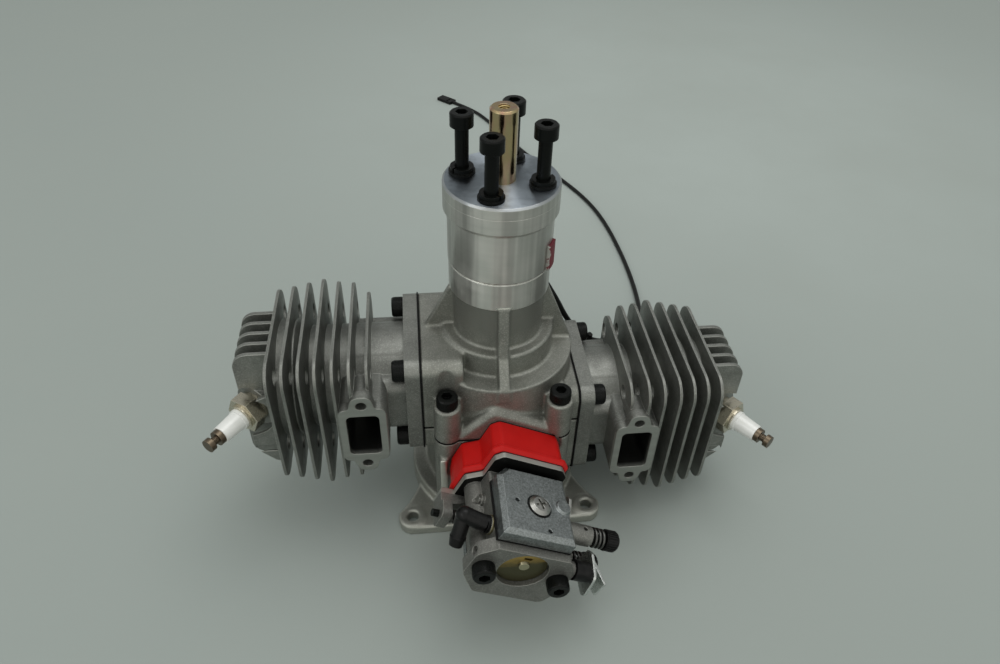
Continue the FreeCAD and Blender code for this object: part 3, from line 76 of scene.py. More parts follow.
SHADE_FADES, SHADE_FULL = 32.0, 22.0    # painted shade on the snout's neck, below the snout's end
STRIP_Y, STRIP_X, STRIP_Z = -36.7, -23.5, 17.0
# painted light on the feet: it fades in below the first height and is full below the second
FEET_TOP, FEET_FOOT = 12.0, 6.0
GAP_SHADE_FRONT, GAP_SHADE_BACK, FLANGE_EDGE = 3.4, 2.3, 2.3    # ahead of the carburettor's mount face; the first two bound the painted shade in the flange's gap
CABLE_POINTS = [
    (13.38063, 22.77935, 122.5), (13.38063, 22.77935, 107.5), (20.0, 28.5, 96.0), (30.5, 30.0, 77.0),
    (36.3, 30.0, 64.5), (43.8, 30.0, 54.2), (52.0, 30.8, 47.9), (66.0, 38.5, 40.5), (84.0, 62.0, 19.0),
    (97.0, 90.0, 5.0), (103.0, 124.0, 1.35), (103.5, 166.0, 1.35), (99.5, 215.0, 1.35), (88.0, 252.0, 1.35),
    (62.0, 300.0, 1.35), (46.0, 337.0, 1.35), (33.0, 371.0, 1.35), (21.0, 394.0, 1.35), (4.8, 409.6, 1.35),
]

# -------------------- camera, metres
CAMERA_PLACE = (-0.03026, -0.24195, 0.29492)
CAMERA_UP = Vector((0.04886, 0.65288, 0.75588))
CAMERA_FORWARD = Vector((0.09773, 0.75003, -0.65415))
CAMERA_LENS, CAMERA_SENSOR = 27.576, 36.0


# -------------------- node wiring
class Wiring:
    """Adds nodes to one tree and joins them."""

    def __init__(self, tree):
        self.tree = tree

    def feed(self, socket, value):
        if isinstance(value, bpy.types.NodeSocket):
            self.tree.links.new(value, socket)
        else:
            socket.default_value = value

    def node(self, kind, inputs=None, **settings):
        made = self.tree.nodes.new(kind)
        for name, value in settings.items():
            setattr(made, name, value)
        for name, value in (inputs or {}).items():
            self.feed(made.inputs[name], value)
        return made

    def math(self, operation, first, second=0.0):
        return self.node("ShaderNodeMath", {0: first, 1: second}, operation=operation).outputs[0]

    def times(self, first, second):
        return self.math("MULTIPLY", first, second)

    def ramp(self, value, low, high, to_low=0.0, to_high=1.0):
        ends = {"From Min": low, "From Max": high, "To Min": to_low, "To Max": to_high}
        made = self.node("ShaderNodeMapRange", {"Value": value, **ends}, interpolation_type="SMOOTHSTEP")
        return made.outputs["Result"]

    def blend(self, factor, first, second):
        """Colour mix."""
        made = self.node("ShaderNodeMix", {0: factor, 6: first, 7: second}, data_type="RGBA")
        return made.outputs[2]

    def lerp(self, factor, first, second):
        """Number mix."""
        made = self.node("ShaderNodeMix", {0: factor, 2: first, 3: second}, data_type="FLOAT")
        return made.outputs[0]

    def group(self, name, **inputs):
        made = self.node("ShaderNodeGroup", node_tree=bpy.data.node_groups[name])
        for label, value in inputs.items():
            self.feed(made.inputs[label], value)
        return made.outputs

    def place(self):
        return self.node("ShaderNodeTexCoord").outputs["Object"]

    def stretched(self, place, height):
        """Coordinates with their height scaled."""
        return self.node("ShaderNodeMapping", {"Vector": place, "Scale": (1, 1, height)}).outputs[0]

    def xyz(self, vector):
        return self.node("ShaderNodeSeparateXYZ", {0: vector}).outputs

    def noise(self, place, size, detail=2.0, roughness=0.5):
        scale = self.math("DIVIDE", 1.0, size) if isinstance(size, bpy.types.NodeSocket) else 1.0 / size
        return self.node("ShaderNodeTexNoise", {
            "Vector": place, "Scale": scale, "Detail": detail, "Roughness": roughness}).outputs["Fac"]

    def measure(self, operation, first, second=(0, 0, 0)):
        """Number taken from one or two vectors."""
        made = self.node("ShaderNodeVectorMath", {0: first, 1: second}, operation=operation)
        return made.outputs["Value"]

    def off_axis(self, x, y):
        """Distance from an upright axis."""
        return self.measure("LENGTH", self.node("ShaderNodeCombineXYZ", {"X": x, "Y": y}).outputs[0])

    def bump(self, height, depth, normal=None):
        inputs = {"Height": height, "Distance": depth}
        if normal is not None:
            inputs["Normal"] = normal
        return self.node("ShaderNodeBump", inputs).outputs[0]

    def surface(self, shader, **sockets):
        """Feeds a shader's own sockets, named with underscores for spaces."""
        for label, value in sockets.items():
            self.feed(shader[label.replace("_", " ")], value)


def node_group(name, takes, gives, tree_kind="ShaderNodeTree"):
    """Empty group with named sockets: returns its wiring, its inputs and its outputs."""
    tree = bpy.data.node_groups.new(name, tree_kind)
    kinds = {"v": "NodeSocketVector", "f": "NodeSocketFloat", "i": "NodeSocketInt",
             "g": "NodeSocketGeometry", "m": "NodeSocketMaterial"}
    for label, kind, default in takes:
        socket = tree.interface.new_socket(label, in_out="INPUT", socket_type=kinds[kind])
        if default is not None:
            socket.default_value = default
    for label, kind in gives:
        tree.interface.new_socket(label, in_out="OUTPUT", socket_type=kinds[kind])
    wires = Wiring(tree)
    return wires, wires.node("NodeGroupInput").outputs, wires.node("NodeGroupOutput").inputs


def make_blasted_grain():
    """Skin of a bead-blasted casting: fine grain, the facets that get painted glints, and slow patches."""
    wires, takes, gives = node_group(
        "blasted_grain", [("Place", "v", None), ("Grain", "f", 0.5 * MM), ("Patch", "f", 12 * MM)],
        [("Height", "f"), ("Glints", "f"), ("Patches", "f")])
    fine = wires.noise(takes["Place"], takes["Grain"], 3.0, 0.65)
    cells = wires.node("ShaderNodeTexVoronoi", {
        "Vector": takes["Place"], "Scale": wires.math("DIVIDE", 1.3, takes["Grain"])})
    facet = wires.xyz(cells.outputs["Color"])[0]
    wires.feed(gives["Height"], wires.math("ADD", fine, wires.times(facet, 0.35)))
    # mask of the brightest facets, where the castings paint glints
    wires.feed(gives["Glints"], wires.ramp(facet, 0.55, 1.0))
    slow = wires.noise(takes["Place"], takes["Patch"], 4.0, 0.6)
    wires.feed(gives["Patches"], wires.ramp(slow, 0.3, 0.7))


def make_soft_edges():
    """Rounded normal and a mask of the outer edges."""
    wires, takes, gives = node_group(
        "soft_edges", [("Radius", "f", 0.5 * MM)], [("Normal", "v"), ("Edge", "f")])
    rounded = wires.node("ShaderNodeBevel", {"Radius": takes["Radius"]}, samples=6).outputs[0]
    plain = wires.node("ShaderNodeNewGeometry").outputs["Normal"]
    bend = wires.math("SUBTRACT", 1.0, wires.measure("DOT_PRODUCT", rounded, plain))
    wires.feed(gives["Normal"], rounded)
    wires.feed(gives["Edge"], wires.ramp(bend, 0.02, 0.25))


def make_lathe_marks():
    """Fine rings that turning leaves round the Z axis of the given coordinates."""
    wires, takes, gives = node_group(
        "lathe_marks", [("Place", "v", None), ("Facing", "f", 0.0), ("Pitch", "f", 0.2 * MM)],
        [("Height", "f"), ("Tone", "f")])
    x, y, z = wires.xyz(takes["Place"])
    travel = wires.lerp(takes["Facing"], z, wires.off_axis(x, y))
    scale = wires.math("DIVIDE", 1.0, takes["Pitch"])
    fine = wires.node("ShaderNodeTexNoise", {"W": travel, "Scale": scale, "Detail": 3.0},
                      noise_dimensions="1D")
    slow = wires.node("ShaderNodeTexNoise", {"W": travel, "Scale": wires.times(scale, 0.08)},
                      noise_dimensions="1D")
    wires.feed(gives["Height"], fine.outputs["Fac"])
    wires.feed(gives["Tone"], slow.outputs["Fac"])


def make_fine_specks():
    """Small round specks scattered over a surface."""
    wires, takes, gives = node_group(
        "fine_specks", [("Place", "v", None), ("Size", "f", 0.4 * MM), ("Share", "f", 0.25)],
        [("Specks", "f")])
    cells = wires.node("ShaderNodeTexVoronoi", {
        "Vector": takes["Place"], "Scale": wires.math("DIVIDE", 1.0, takes["Size"])})
    chosen = wires.math("LESS_THAN", wires.xyz(cells.outputs["Color"])[1], takes["Share"])
    core = wires.ramp(cells.outputs["Distance"], 0.5, 0.2)
    wires.feed(gives["Specks"], wires.times(chosen, core))


def make_settled_dust():
    """Mask of the dust and haze that settles on faces that look up."""
    wires, takes, gives = node_group("settled_dust", [("Place", "v", None)], [("Dust", "f")])
    up = wires.xyz(wires.node("ShaderNodeNewGeometry").outputs["Normal"])[2]
    cloud = wires.noise(takes["Place"], 6 * MM, 5.0, 0.7)
    wires.feed(gives["Dust"], wires.times(wires.ramp(up, 0.1, 1.0), wires.ramp(cloud, 0.4, 0.75)))


def make_ribbed_rings():
    """Rings of small ribs: one ring on each point of the carrier, turned by that point's own attribute."""
    wires, takes, gives = node_group(
        "ribbed_rings", [("Carrier", "g", None), ("Count", "i", 40), ("Radius", "f", 4 * MM),
                         ("Rib", "v", (0.2 * MM, 0.3 * MM, 3 * MM)), ("Finish", "m", None)],
        [("Pieces", "g")], "GeometryNodeTree")
    circle = wires.node("GeometryNodeMeshCircle", {"Vertices": takes["Count"], "Radius": takes["Radius"]})
    rib = wires.node("GeometryNodeMeshCube", {"Size": takes["Rib"]})
    outwards = wires.node("FunctionNodeAlignRotationToVector",
                          {"Vector": wires.node("GeometryNodeInputPosition").outputs[0]}, axis="X")
    ribs = wires.node("GeometryNodeInstanceOnPoints", {
        "Points": circle.outputs[0], "Instance": rib.outputs[0], "Rotation": outwards.outputs[0]})
    finish_copies(wires, takes, gives, ribs.outputs[0])


def make_thread_turns():
    """Turns of a screw thread on each point of the carrier."""
    wires, takes, gives = node_group(
        "thread_turns", [("Carrier", "g", None), ("Radius", "f", 2 * MM), ("Length", "f", 5 * MM),
                         ("Pitch", "f", 0.8 * MM), ("Wire", "f", 0.3 * MM), ("Finish", "m", None)],
        [("Pieces", "g")], "GeometryNodeTree")
    rounds = wires.math("DIVIDE", takes["Length"], takes["Pitch"])
    spiral = wires.node("GeometryNodeCurveSpiral", {
        "Resolution": 28, "Rotations": rounds, "Start Radius": takes["Radius"],
        "End Radius": takes["Radius"], "Height": takes["Length"]})
    section = wires.node("GeometryNodeCurvePrimitiveCircle", {"Resolution": 6, "Radius": takes["Wire"]})
    thread = wires.node("GeometryNodeCurveToMesh", {
        "Curve": spiral.outputs[0], "Profile Curve": section.outputs[0], "Fill Caps": True})
    finish_copies(wires, takes, gives, thread.outputs[0])


def finish_copies(wires, takes, gives, shape):
    """Copies a shape to the carrier's points and ends the tree."""
    single = wires.node("GeometryNodeRealizeInstances", {0: shape}).outputs[0]
    turn = wires.node("GeometryNodeInputNamedAttribute", {"Name": "turn"}, data_type="FLOAT_VECTOR")
    turned = wires.node("FunctionNodeEulerToRotation", {0: turn.outputs[0]}).outputs[0]
    copies = wires.node("GeometryNodeInstanceOnPoints", {
        "Points": takes["Carrier"], "Instance": single, "Rotation": turned}).outputs[0]
    real = wires.node("GeometryNodeRealizeInstances", {0: copies}).outputs[0]
    done = wires.node("GeometryNodeSetMaterial", {0: real, "Material": takes["Finish"]}).outputs[0]
    wires.feed(gives["Pieces"], done)


def shader_material(name, **sockets):
    """New material: returns it, its wiring, its shader's inputs and its coordinates."""
    material = bpy.data.materials.new(name)
    material.use_nodes = True
    shader = material.node_tree.nodes["Principled BSDF"].inputs
    wires = Wiring(material.node_tree)
    wires.surface(shader, **sockets)
    return material, wires, shader, wires.place()


def tinted(colour, factor):
    """Colour made lighter or darker."""
    return tuple(min(1.0, c * factor) for c in colour[:3]) + (1.0,)


def facing(wires, axis):
    """Mask of the faces that look along an axis, either way."""
    normal = wires.xyz(wires.node("ShaderNodeNewGeometry").outputs["Normal"])["XYZ".index(axis)]
    return wires.ramp(wires.math("ABSOLUTE", normal), 0.6, 0.8)


def cast_material(name, colour, machined, cut=(1.5, 2.1, 0.27), darkened=None, dark=0.12, depth=0.12 * MM,
                  edge=0.7 * MM):
    """Bead-blasted cast aluminium.

    The first zone mask gives the cut faces, and on the rear case also painted light on the feet; cut gives
    their two tones and their roughness.
    darkened gives the mask of what gets painted shade (the snout's neck, the insides of the exhaust ports
    and the gap in front of the carburettor's flange), and dark its tone.
    """
    material, wires, shader, place = shader_material(name, Metallic=0.8)
    skin = wires.group("blasted_grain", Place=place, Grain=0.42 * MM)
    edges = wires.group("soft_edges", Radius=edge)
    dust = wires.group("settled_dust", Place=place)["Dust"]
    shade = wires.blend(skin["Patches"], tinted(colour, 0.78), tinted(colour, 1.12))
    # painted glints on the grain's brightest facets
    shade = wires.blend(wires.times(skin["Glints"], 0.4), shade, tinted(colour, 2.0))
    shade = wires.blend(wires.times(dust, 0.3), shade, tinted(colour, 0.7))
    # painted highlight along the outer edges
    shade = wires.blend(wires.times(edges["Edge"], 0.85), shade, tinted(colour, 2.3))
    rough = wires.ramp(skin["Patches"], 0.0, 1.0, 0.5, 0.4)
    mask = machined(wires, place)
    marks = wires.group("lathe_marks", Place=place, Pitch=0.25 * MM)
    low_tone, high_tone, cut_rough = cut
    bright = wires.blend(marks["Tone"], tinted(colour, low_tone), tinted(colour, high_tone))
    shade = wires.blend(mask, shade, bright)
    rough = wires.lerp(mask, rough, cut_rough)
    height = wires.lerp(mask, skin["Height"], wires.times(marks["Height"], 0.12))
    if darkened:
        shade = wires.blend(darkened(wires, place), shade, tinted(colour, dark))
    wires.surface(shader, Base_Color=shade, Roughness=rough,
                  Normal=wires.bump(height, depth, edges["Normal"]))
    return material


def turned_material(name, colour, face=None):
    """Lathe-turned metal round the crankshaft axis, with its shine drawn out across the turning marks.

    face is the colour of the flat faces, where it differs: a bluish painted reflection of the room.
    """
    material, wires, shader, place = shader_material(name, Metallic=1.0, Anisotropic=0.95,
                                                    Anisotropic_Rotation=0.25)
    flat = facing(wires, "Z")
    marks = wires.group("lathe_marks", Place=place, Facing=flat, Pitch=0.18 * MM)
    edges = wires.group("soft_edges", Radius=0.3 * MM)
    smudge = wires.ramp(wires.noise(place, 9 * MM, 4.0, 0.6), 0.35, 0.7)
    reflection_bands = wires.ramp(wires.noise(wires.stretched(place, 0.03), 9 * MM, 3.0, 0.6), 0.4, 0.6)
    shade = wires.blend(marks["Tone"], tinted(colour, 0.93), tinted(colour, 1.05))
    # painted reflection: darker upright streaks drawn out along the axis
    shade = wires.blend(wires.times(reflection_bands, 0.65), shade, tinted(colour, 0.5))
    if face:
        # the flat faces take a bluish painted reflection, lighter and darker in sectors
        shade = wires.blend(flat, shade, wires.blend(reflection_bands, tinted(face, 0.85), tinted(face, 1.15)))
    # painted highlight on the edges and chamfers
    shade = wires.blend(wires.times(edges["Edge"], 0.8), shade, tinted(colour, 1.4))
    wires.surface(shader, Base_Color=shade, Roughness=wires.ramp(smudge, 0.0, 1.0, 0.3, 0.38),
                  Normal=wires.bump(marks["Height"], 0.008 * MM, edges["Normal"]))
    return material


def plain_metal(name, colour, roughness, depth=0.01 * MM, metallic=1.0, edge_highlight=1.4, shine=0.5):
    """Drawn, ground or plated metal, with a painted highlight of a given tone on its edges."""
    material, wires, shader, place = shader_material(name, Metallic=metallic, Specular_IOR_Level=shine)
    edges = wires.group("soft_edges", Radius=0.25 * MM)
    cloud = wires.noise(place, 3 * MM, 4.0, 0.6)
    fine = wires.noise(place, 0.3 * MM)
    shade = wires.blend(cloud, tinted(colour, 0.85), tinted(colour, 1.12))
    # painted highlight on the edges
    shade = wires.blend(wires.times(edges["Edge"], 0.6), shade, tinted(colour, edge_highlight))
    wires.surface(shader, Base_Color=shade, Normal=wires.bump(fine, depth, edges["Normal"]),
                  Roughness=wires.ramp(cloud, 0.3, 0.7, roughness, roughness + 0.1))
    return material


def plain_plastic(name, colour, roughness, edge=0.35 * MM, edge_highlight=1.6, dusty=0.02):
    """Moulded plastic or rubber with a faint skin texture, and a painted highlight of a given tone on its
    edges.
    """
    material, wires, shader, place = shader_material(name, Metallic=0.0, Specular_IOR_Level=0.2)
    edges = wires.group("soft_edges", Radius=edge)
    dust = wires.group("settled_dust", Place=place)["Dust"]
    fine = wires.noise(place, 0.25 * MM, 3.0)
    shade = wires.blend(wires.noise(place, 5 * MM, 3.0), tinted(colour, 0.88), tinted(colour, 1.1))
    # painted highlight on the edges
    shade = wires.blend(wires.times(edges["Edge"], 0.35), shade, tinted(colour, edge_highlight))
    shade = wires.blend(wires.times(dust, dusty), shade, (0.4, 0.4, 0.38, 1))
    wires.surface(shader, Base_Color=shade, Normal=wires.bump(fine, 0.02 * MM, edges["Normal"]),
                  Roughness=wires.ramp(fine, 0.3, 0.7, roughness - 0.05, roughness + 0.08))
    return material


def zinc_material(colour):
    """Blue-grey zinc casting with dark specks, a painted highlight on its edges, and painted shade in the
    recess round the cover's screw.
    """
    material, wires, shader, place = shader_material("zinc_cover", Metallic=1.0)
    edges = wires.group("soft_edges", Radius=0.35 * MM)
    specks = wires.group("fine_specks", Place=place, Size=0.45 * MM, Share=0.4)["Specks"]
    cloud = wires.ramp(wires.noise(place, 0.8 * MM, 4.0, 0.7), 0.3, 0.7)
    shade = wires.blend(cloud, tinted(colour, 0.72), tinted(colour, 1.3))
    shade = wires.blend(wires.times(specks, 0.6), shade, tinted(colour, 0.45))
    sideways = Matrix.Rotation(CARB_TILT, 3, "Y") @ AXIS_X
    screw_across = sideways.dot(CARB_PLACE) + COVER_SCREW_SIDE * MM
    across = wires.math("SUBTRACT", wires.measure("DOT_PRODUCT", place, tuple(sideways)), screw_across)
    forward = wires.math("SUBTRACT", wires.xyz(place)[1], COVER_SCREW_Y * MM)
    ring = wires.ramp(wires.off_axis(across, forward), (COVER_SCREW_RIM + 0.25) * MM, COVER_SCREW_RIM * MM)
    # painted shade in the recess round the cover's screw
    shade = wires.blend(ring, shade, tinted(colour, 0.12))
    # painted highlight on the edges
    shade = wires.blend(wires.times(edges["Edge"], 0.7), shade, tinted(colour, 1.8))
    wires.surface(shader, Base_Color=shade, Roughness=wires.ramp(cloud, 0.0, 1.0, 0.32, 0.5),
                  Normal=wires.bump(cloud, 0.03 * MM, edges["Normal"]))
    return material


def paint_material(metal):
    """Crimson sealing paint, rubbed off to bare metal along one side."""
    material, wires, shader, place = shader_material("red_paint", Roughness=0.6)
    painted = paint_zone(wires, place)
    cloud = wires.noise(place, 1.5 * MM, 3.0, 0.6)
    red = wires.blend(cloud, (0.075, 0.002, 0.008, 1), (0.16, 0.004, 0.016, 1))
    edges = wires.group("soft_edges", Radius=0.6 * MM)
    wires.surface(shader, Base_Color=wires.blend(painted, tinted(metal, 0.8), red),
                  Metallic=wires.math("SUBTRACT", 1.0, painted),
                  Normal=wires.bump(cloud, 0.1 * MM, edges["Normal"]))
    return material


def gilt_material():
    """Yellow chromate plating: gold that drifts to rose and olive."""
    material, wires, shader, place = shader_material("gilt_steel", Metallic=1.0)
    edges = wires.group("soft_edges", Radius=0.3 * MM)
    long_place = wires.stretched(place, 0.25)
    drift = wires.ramp(wires.noise(long_place, 5 * MM, 3.0), 0.3, 0.7)
    band = wires.ramp(wires.noise(long_place, 2.2 * MM, 3.0), 0.35, 0.65)
    shade = wires.blend(drift, (0.50, 0.39, 0.20, 1), (0.48, 0.27, 0.21, 1))
    shade = wires.blend(wires.times(band, 0.45), shade, (0.42, 0.42, 0.22, 1))
    # painted highlight on the edges
    shade = wires.blend(wires.times(edges["Edge"], 0.5), shade, (0.8, 0.68, 0.42, 1))
    marks = wires.group("lathe_marks", Place=place, Facing=facing(wires, "Z"), Pitch=0.15 * MM)
    wires.surface(shader, Base_Color=shade, Roughness=wires.ramp(band, 0.0, 1.0, 0.16, 0.24),
                  Normal=wires.bump(marks["Height"], 0.004 * MM, edges["Normal"]))
    return material


def brass_material():
    """Brass sheet, darkened with painted shade deep in the throat: amber as if lit at the top, olive in
    shade below.
    """
    material, wires, shader, place = shader_material("brass_plates", Metallic=0.8)
    cloud = wires.noise(wires.stretched(place, 3), 4 * MM, 4.0, 0.6)
    drift = wires.times(wires.math("SUBTRACT", cloud, 0.5), 6 * MM)
    level = wires.math("ADD", wires.xyz(place)[2], drift)
    # painted light and shade: amber where lit at the top of the throat, olive in painted shade below
    olive, amber = (0.07, 0.065, 0.03, 1), (0.40, 0.27, 0.07, 1)
    wires.surface(shader, Base_Color=wires.blend(wires.ramp(level, 42 * MM, 50 * MM), olive, amber),
                  Roughness=wires.ramp(cloud, 0.3, 0.7, 0.3, 0.42), Normal=wires.bump(cloud, 0.02 * MM))
    return material


def ceramic_material():
    """Glazed white ceramic."""
    material, wires, shader, place = shader_material("ceramic", Metallic=0.0, Roughness=0.3,
                                                    Coat_Weight=0.5, Coat_Roughness=0.08)
    edges = wires.group("soft_edges", Radius=0.3 * MM)
    cloud = wires.noise(place, 4 * MM, 3.0)
    shade = wires.blend(cloud, (0.70, 0.71, 0.68, 1), (0.78, 0.79, 0.77, 1))
    wires.surface(shader, Base_Color=shade, Normal=wires.bump(cloud, 0.01 * MM, edges["Normal"]))
    return material


def gasket_material():
    """Dark fibre sheet."""
    material, wires, shader, place = shader_material("gasket", Metallic=0.0, Specular_IOR_Level=0.15)
    fibre = wires.noise(place, 0.3 * MM, 4.0, 0.8)
    wires.surface(shader, Base_Color=wires.blend(fibre, (0.002, 0.002, 0.002, 1), (0.01, 0.01, 0.01, 1)),
                  Roughness=wires.ramp(fibre, 0.2, 0.8, 0.6, 0.9), Normal=wires.bump(fibre, 0.05 * MM))
    return material


def floor_material(colour):
    """Pale smooth sheet with faint clouds, and a painted pool of light round a centre beside the engine
    that dims further out.
    """
    material, wires, shader, place = shader_material("pale_floor", Metallic=0.0, Roughness=0.75,
                                                    Specular_IOR_Level=0.2)
    cloud = wires.noise(place, 180 * MM, 4.0, 0.6)
    pool_centre = (200 * MM, 380 * MM, 0)
    away = wires.measure("DISTANCE", place, pool_centre)
    # painted pool of light round the centre, dimming further out
    pool_light = (colour[0] * 1.2, colour[1] * 1.22, colour[2] * 1.25, 1)
    far_dim = (colour[0] * 0.92, colour[1] * 0.94, colour[2] * 0.96, 1)
    shade = wires.blend(wires.ramp(away, 80 * MM, 500 * MM), pool_light, far_dim)
    wires.surface(shader, Base_Color=wires.blend(cloud, shade, tinted(colour, 0.98)),
                  Normal=wires.bump(wires.noise(place, 20 * MM, 3.0), 0.2 * MM))
    return material


# -------------------- machined zones of the castings
def band_zone(wires, place):
    """Bright turned band round the end of the snout."""
    x, y, z = wires.xyz(place)
    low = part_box("crankcase_front")[1].z - BAND_WIDTH * MM
    rim = (BAND_RADIUS + 0.2) * MM
    return wires.times(wires.ramp(z, low - 0.3 * MM, low),
                       wires.ramp(wires.off_axis(x, y), rim + 0.1 * MM, rim))


def snout_shade_zone(wires, place):
    """Painted shade on the neck between the turned band and the upper ring."""
    x, y, z = wires.xyz(place)
    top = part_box("crankcase_front")[1].z
    high = wires.ramp(z, top - SHADE_FADES * MM, top - SHADE_FULL * MM)
    neck = wires.ramp(wires.off_axis(x, y), (SNOUT_RADIUS + 0.4) * MM, SNOUT_RADIUS * MM)
    return wires.times(high, neck)


def paint_zone(wires, place):
    """Ragged part of the magnet's seal that still has its paint."""
    x, y = wires.xyz(place)[:2]
    edge = wires.math("SUBTRACT", wires.noise(place, 2.5 * MM, 3.0, 0.6), 0.5)
    turn = wires.math("ADD", wires.math("ARCTAN2", y, x), wires.times(edge, 0.25))
    return wires.ramp(turn, math.radians(-36.0), math.radians(-34.5))


def flange_gap_shade_zone(wires, place):
    """Near-black painted shade on the faces in the gap between the carburettor's flange and the pump cover.
    """
    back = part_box("carb_body")[1].y
    y = wires.xyz(place)[1]
    behind = wires.ramp(y, back - (GAP_SHADE_FRONT + 0.2) * MM, back - GAP_SHADE_FRONT * MM)
    ahead = wires.ramp(y, back - (GAP_SHADE_BACK - 0.2) * MM, back - GAP_SHADE_BACK * MM)
    return wires.times(wires.times(behind, ahead), facing(wires, "Y"))


def port_zone(wires, place):
    """Milled faces of the exhaust ports."""
    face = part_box("left_cylinder")[0].y
    return wires.ramp(wires.xyz(place)[1], face + 0.25 * MM, face + 0.05 * MM)


def port_shade_zone(wires, place):
    """Insides of the exhaust ports, darkened with painted shade."""
    x, y, z = wires.xyz(place)
    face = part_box("left_cylinder")[0].y
    deep = wires.ramp(y, face + 0.6 * MM, face + 3.0 * MM)
    on_left = wires.math("GREATER_THAN", 0.0, x)
    level = wires.lerp(on_left, RIGHT_AXIS_HEIGHT * MM, LEFT_AXIS_HEIGHT * MM)
    sideways = wires.math("SUBTRACT", wires.math("ABSOLUTE", x), PORT_CENTRE_X * MM)
    upright = wires.math("SUBTRACT", z, level)
    for offset, half in ((sideways, PORT_HALF_WIDTH), (upright, PORT_HALF_HEIGHT)):
        within = wires.ramp(wires.math("ABSOLUTE", offset), (half + 0.3) * MM, half * MM)
        deep = wires.times(deep, within)
    return deep


def carb_flange_zone(wires, place):
    """Clean flange of the carburettor at the intake."""
    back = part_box("carb_body")[1].y
    return wires.ramp(wires.xyz(place)[1], back - (FLANGE_EDGE + 0.3) * MM, back - FLANGE_EDGE * MM)


def strip_and_feet_light(wires, place):
    """Milled strip beside the intake, and painted light on the feet, lighter towards the bottom."""
    x, y, z = wires.xyz(place)
    front = wires.ramp(y, (STRIP_Y + 0.4) * MM, STRIP_Y * MM)
    beside = wires.ramp(x, (STRIP_X + 0.5) * MM, STRIP_X * MM)
    above_feet = wires.ramp(z, (STRIP_Z - 1) * MM, STRIP_Z * MM)
    # painted light on the feet, which lie in the engine's shadow
    feet = wires.ramp(z, FEET_TOP * MM, FEET_FOOT * MM, 0.0, 0.4)
    return wires.math("MAXIMUM", wires.times(wires.times(front, beside), above_feet), feet)


# -------------------- shape helpers
def dress(material, *names):
    """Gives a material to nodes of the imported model."""
    for name in names:
        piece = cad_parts[name]
        if not piece.material_slots:
            piece.data.materials.append(material)
        for held in piece.material_slots:
            held.material = material


def soften(name, voxel, passes):
    """Rounds the edges and the inner corners of a casting."""
    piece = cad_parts[name]
    skin = piece.modifiers.new("skin", "REMESH")
    skin.mode = "VOXEL"
    skin.voxel_size = voxel
    skin.use_smooth_shade = True
    rounding = piece.modifiers.new("rounding", "SMOOTH")
    rounding.factor = 0.5
    rounding.iterations = passes


def grown_mesh(name, tree, places, material, **inputs):
    """Mesh that a geometry tree grows on given places, each a point and a turn."""
    points, turns = zip(*places)
    carrier = bpy.data.meshes.new(name)
    carrier.from_pydata(points, [], [])
    held = carrier.attributes.new("turn", "FLOAT_VECTOR", "POINT")
    for value, turn in zip(held.data, turns):
        value.vector = turn
    holder = bpy.data.objects.new(name, carrier)
    bpy.context.scene.collection.objects.link(holder)
    grower = holder.modifiers.new("grower", "NODES")
    grower.node_group = bpy.data.node_groups[tree]
    sockets = {item.name: item.identifier for item in grower.node_group.interface.items_tree
               if item.in_out == "INPUT"}
    for label, value in {**inputs, "Finish": material}.items():
        grower[sockets[label]] = value
    holder.update_tag()
    bpy.context.view_layer.update()
    grown = holder.evaluated_get(bpy.context.evaluated_depsgraph_get())
    mesh = bpy.data.meshes.new_from_object(grown)
    bpy.data.objects.remove(holder)
    if not mesh.polygons:
        raise RuntimeError(name + " came out empty")
    work = bmesh.new()
    work.from_mesh(mesh)
    bmesh.ops.recalc_face_normals(work, faces=work.faces)
    work.to_mesh(mesh)
    work.free()
    return mesh


def ring_mesh(name, place, profile):
    """Mesh of a turned ring from its place and its corners (radius, height), named anticlockwise."""
    steps, count = 48, len(profile)
    turns = [place @ Matrix.Rotation(2 * math.pi * step / steps, 4, "Z") for step in range(steps)]
    points = [turn @ Vector((radius, 0, height)) for turn in turns for radius, height in profile]
    faces = []
    for step in range(steps):
        here, there = step * count, (step + 1) % steps * count
        for corner in range(count):
            after = (corner + 1) % count
            faces.append((here + corner, there + corner, there + after, here + after))
    mesh = bpy.data.meshes.new(name)
    mesh.from_pydata(points, [], faces)
    return mesh


def turned_to(axis):
    """Turn that brings Z to an axis."""
    return axis.to_track_quat("Z", "Y").to_matrix().to_4x4()


def in_carburettor(side, y, level, axis):
    """Placement in the tilted frame of the carburettor, in millimetres, with Z turned to an axis there."""
    tilt = Matrix.Translation(CARB_PLACE) @ Matrix.Rotation(CARB_TILT, 4, "Y")
    return tilt @ Matrix.Translation(Vector((side, y, level)) * MM) @ turned_to(axis)


def spot(matrix):
    """Point and turn of a placement."""
    return tuple(matrix.translation), tuple(matrix.to_euler("XYZ"))


def new_piece(name, mesh, material, body, replaces=()):
    """Puts a finished mesh or curve in the scene as a piece of one body."""
    piece = bpy.data.objects.new(name, mesh)
    bpy.context.scene.collection.objects.link(piece)
    mesh.materials.clear()
    mesh.materials.append(material)
    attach(piece, body)
    if replaces:
        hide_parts(*replaces)
    return piece


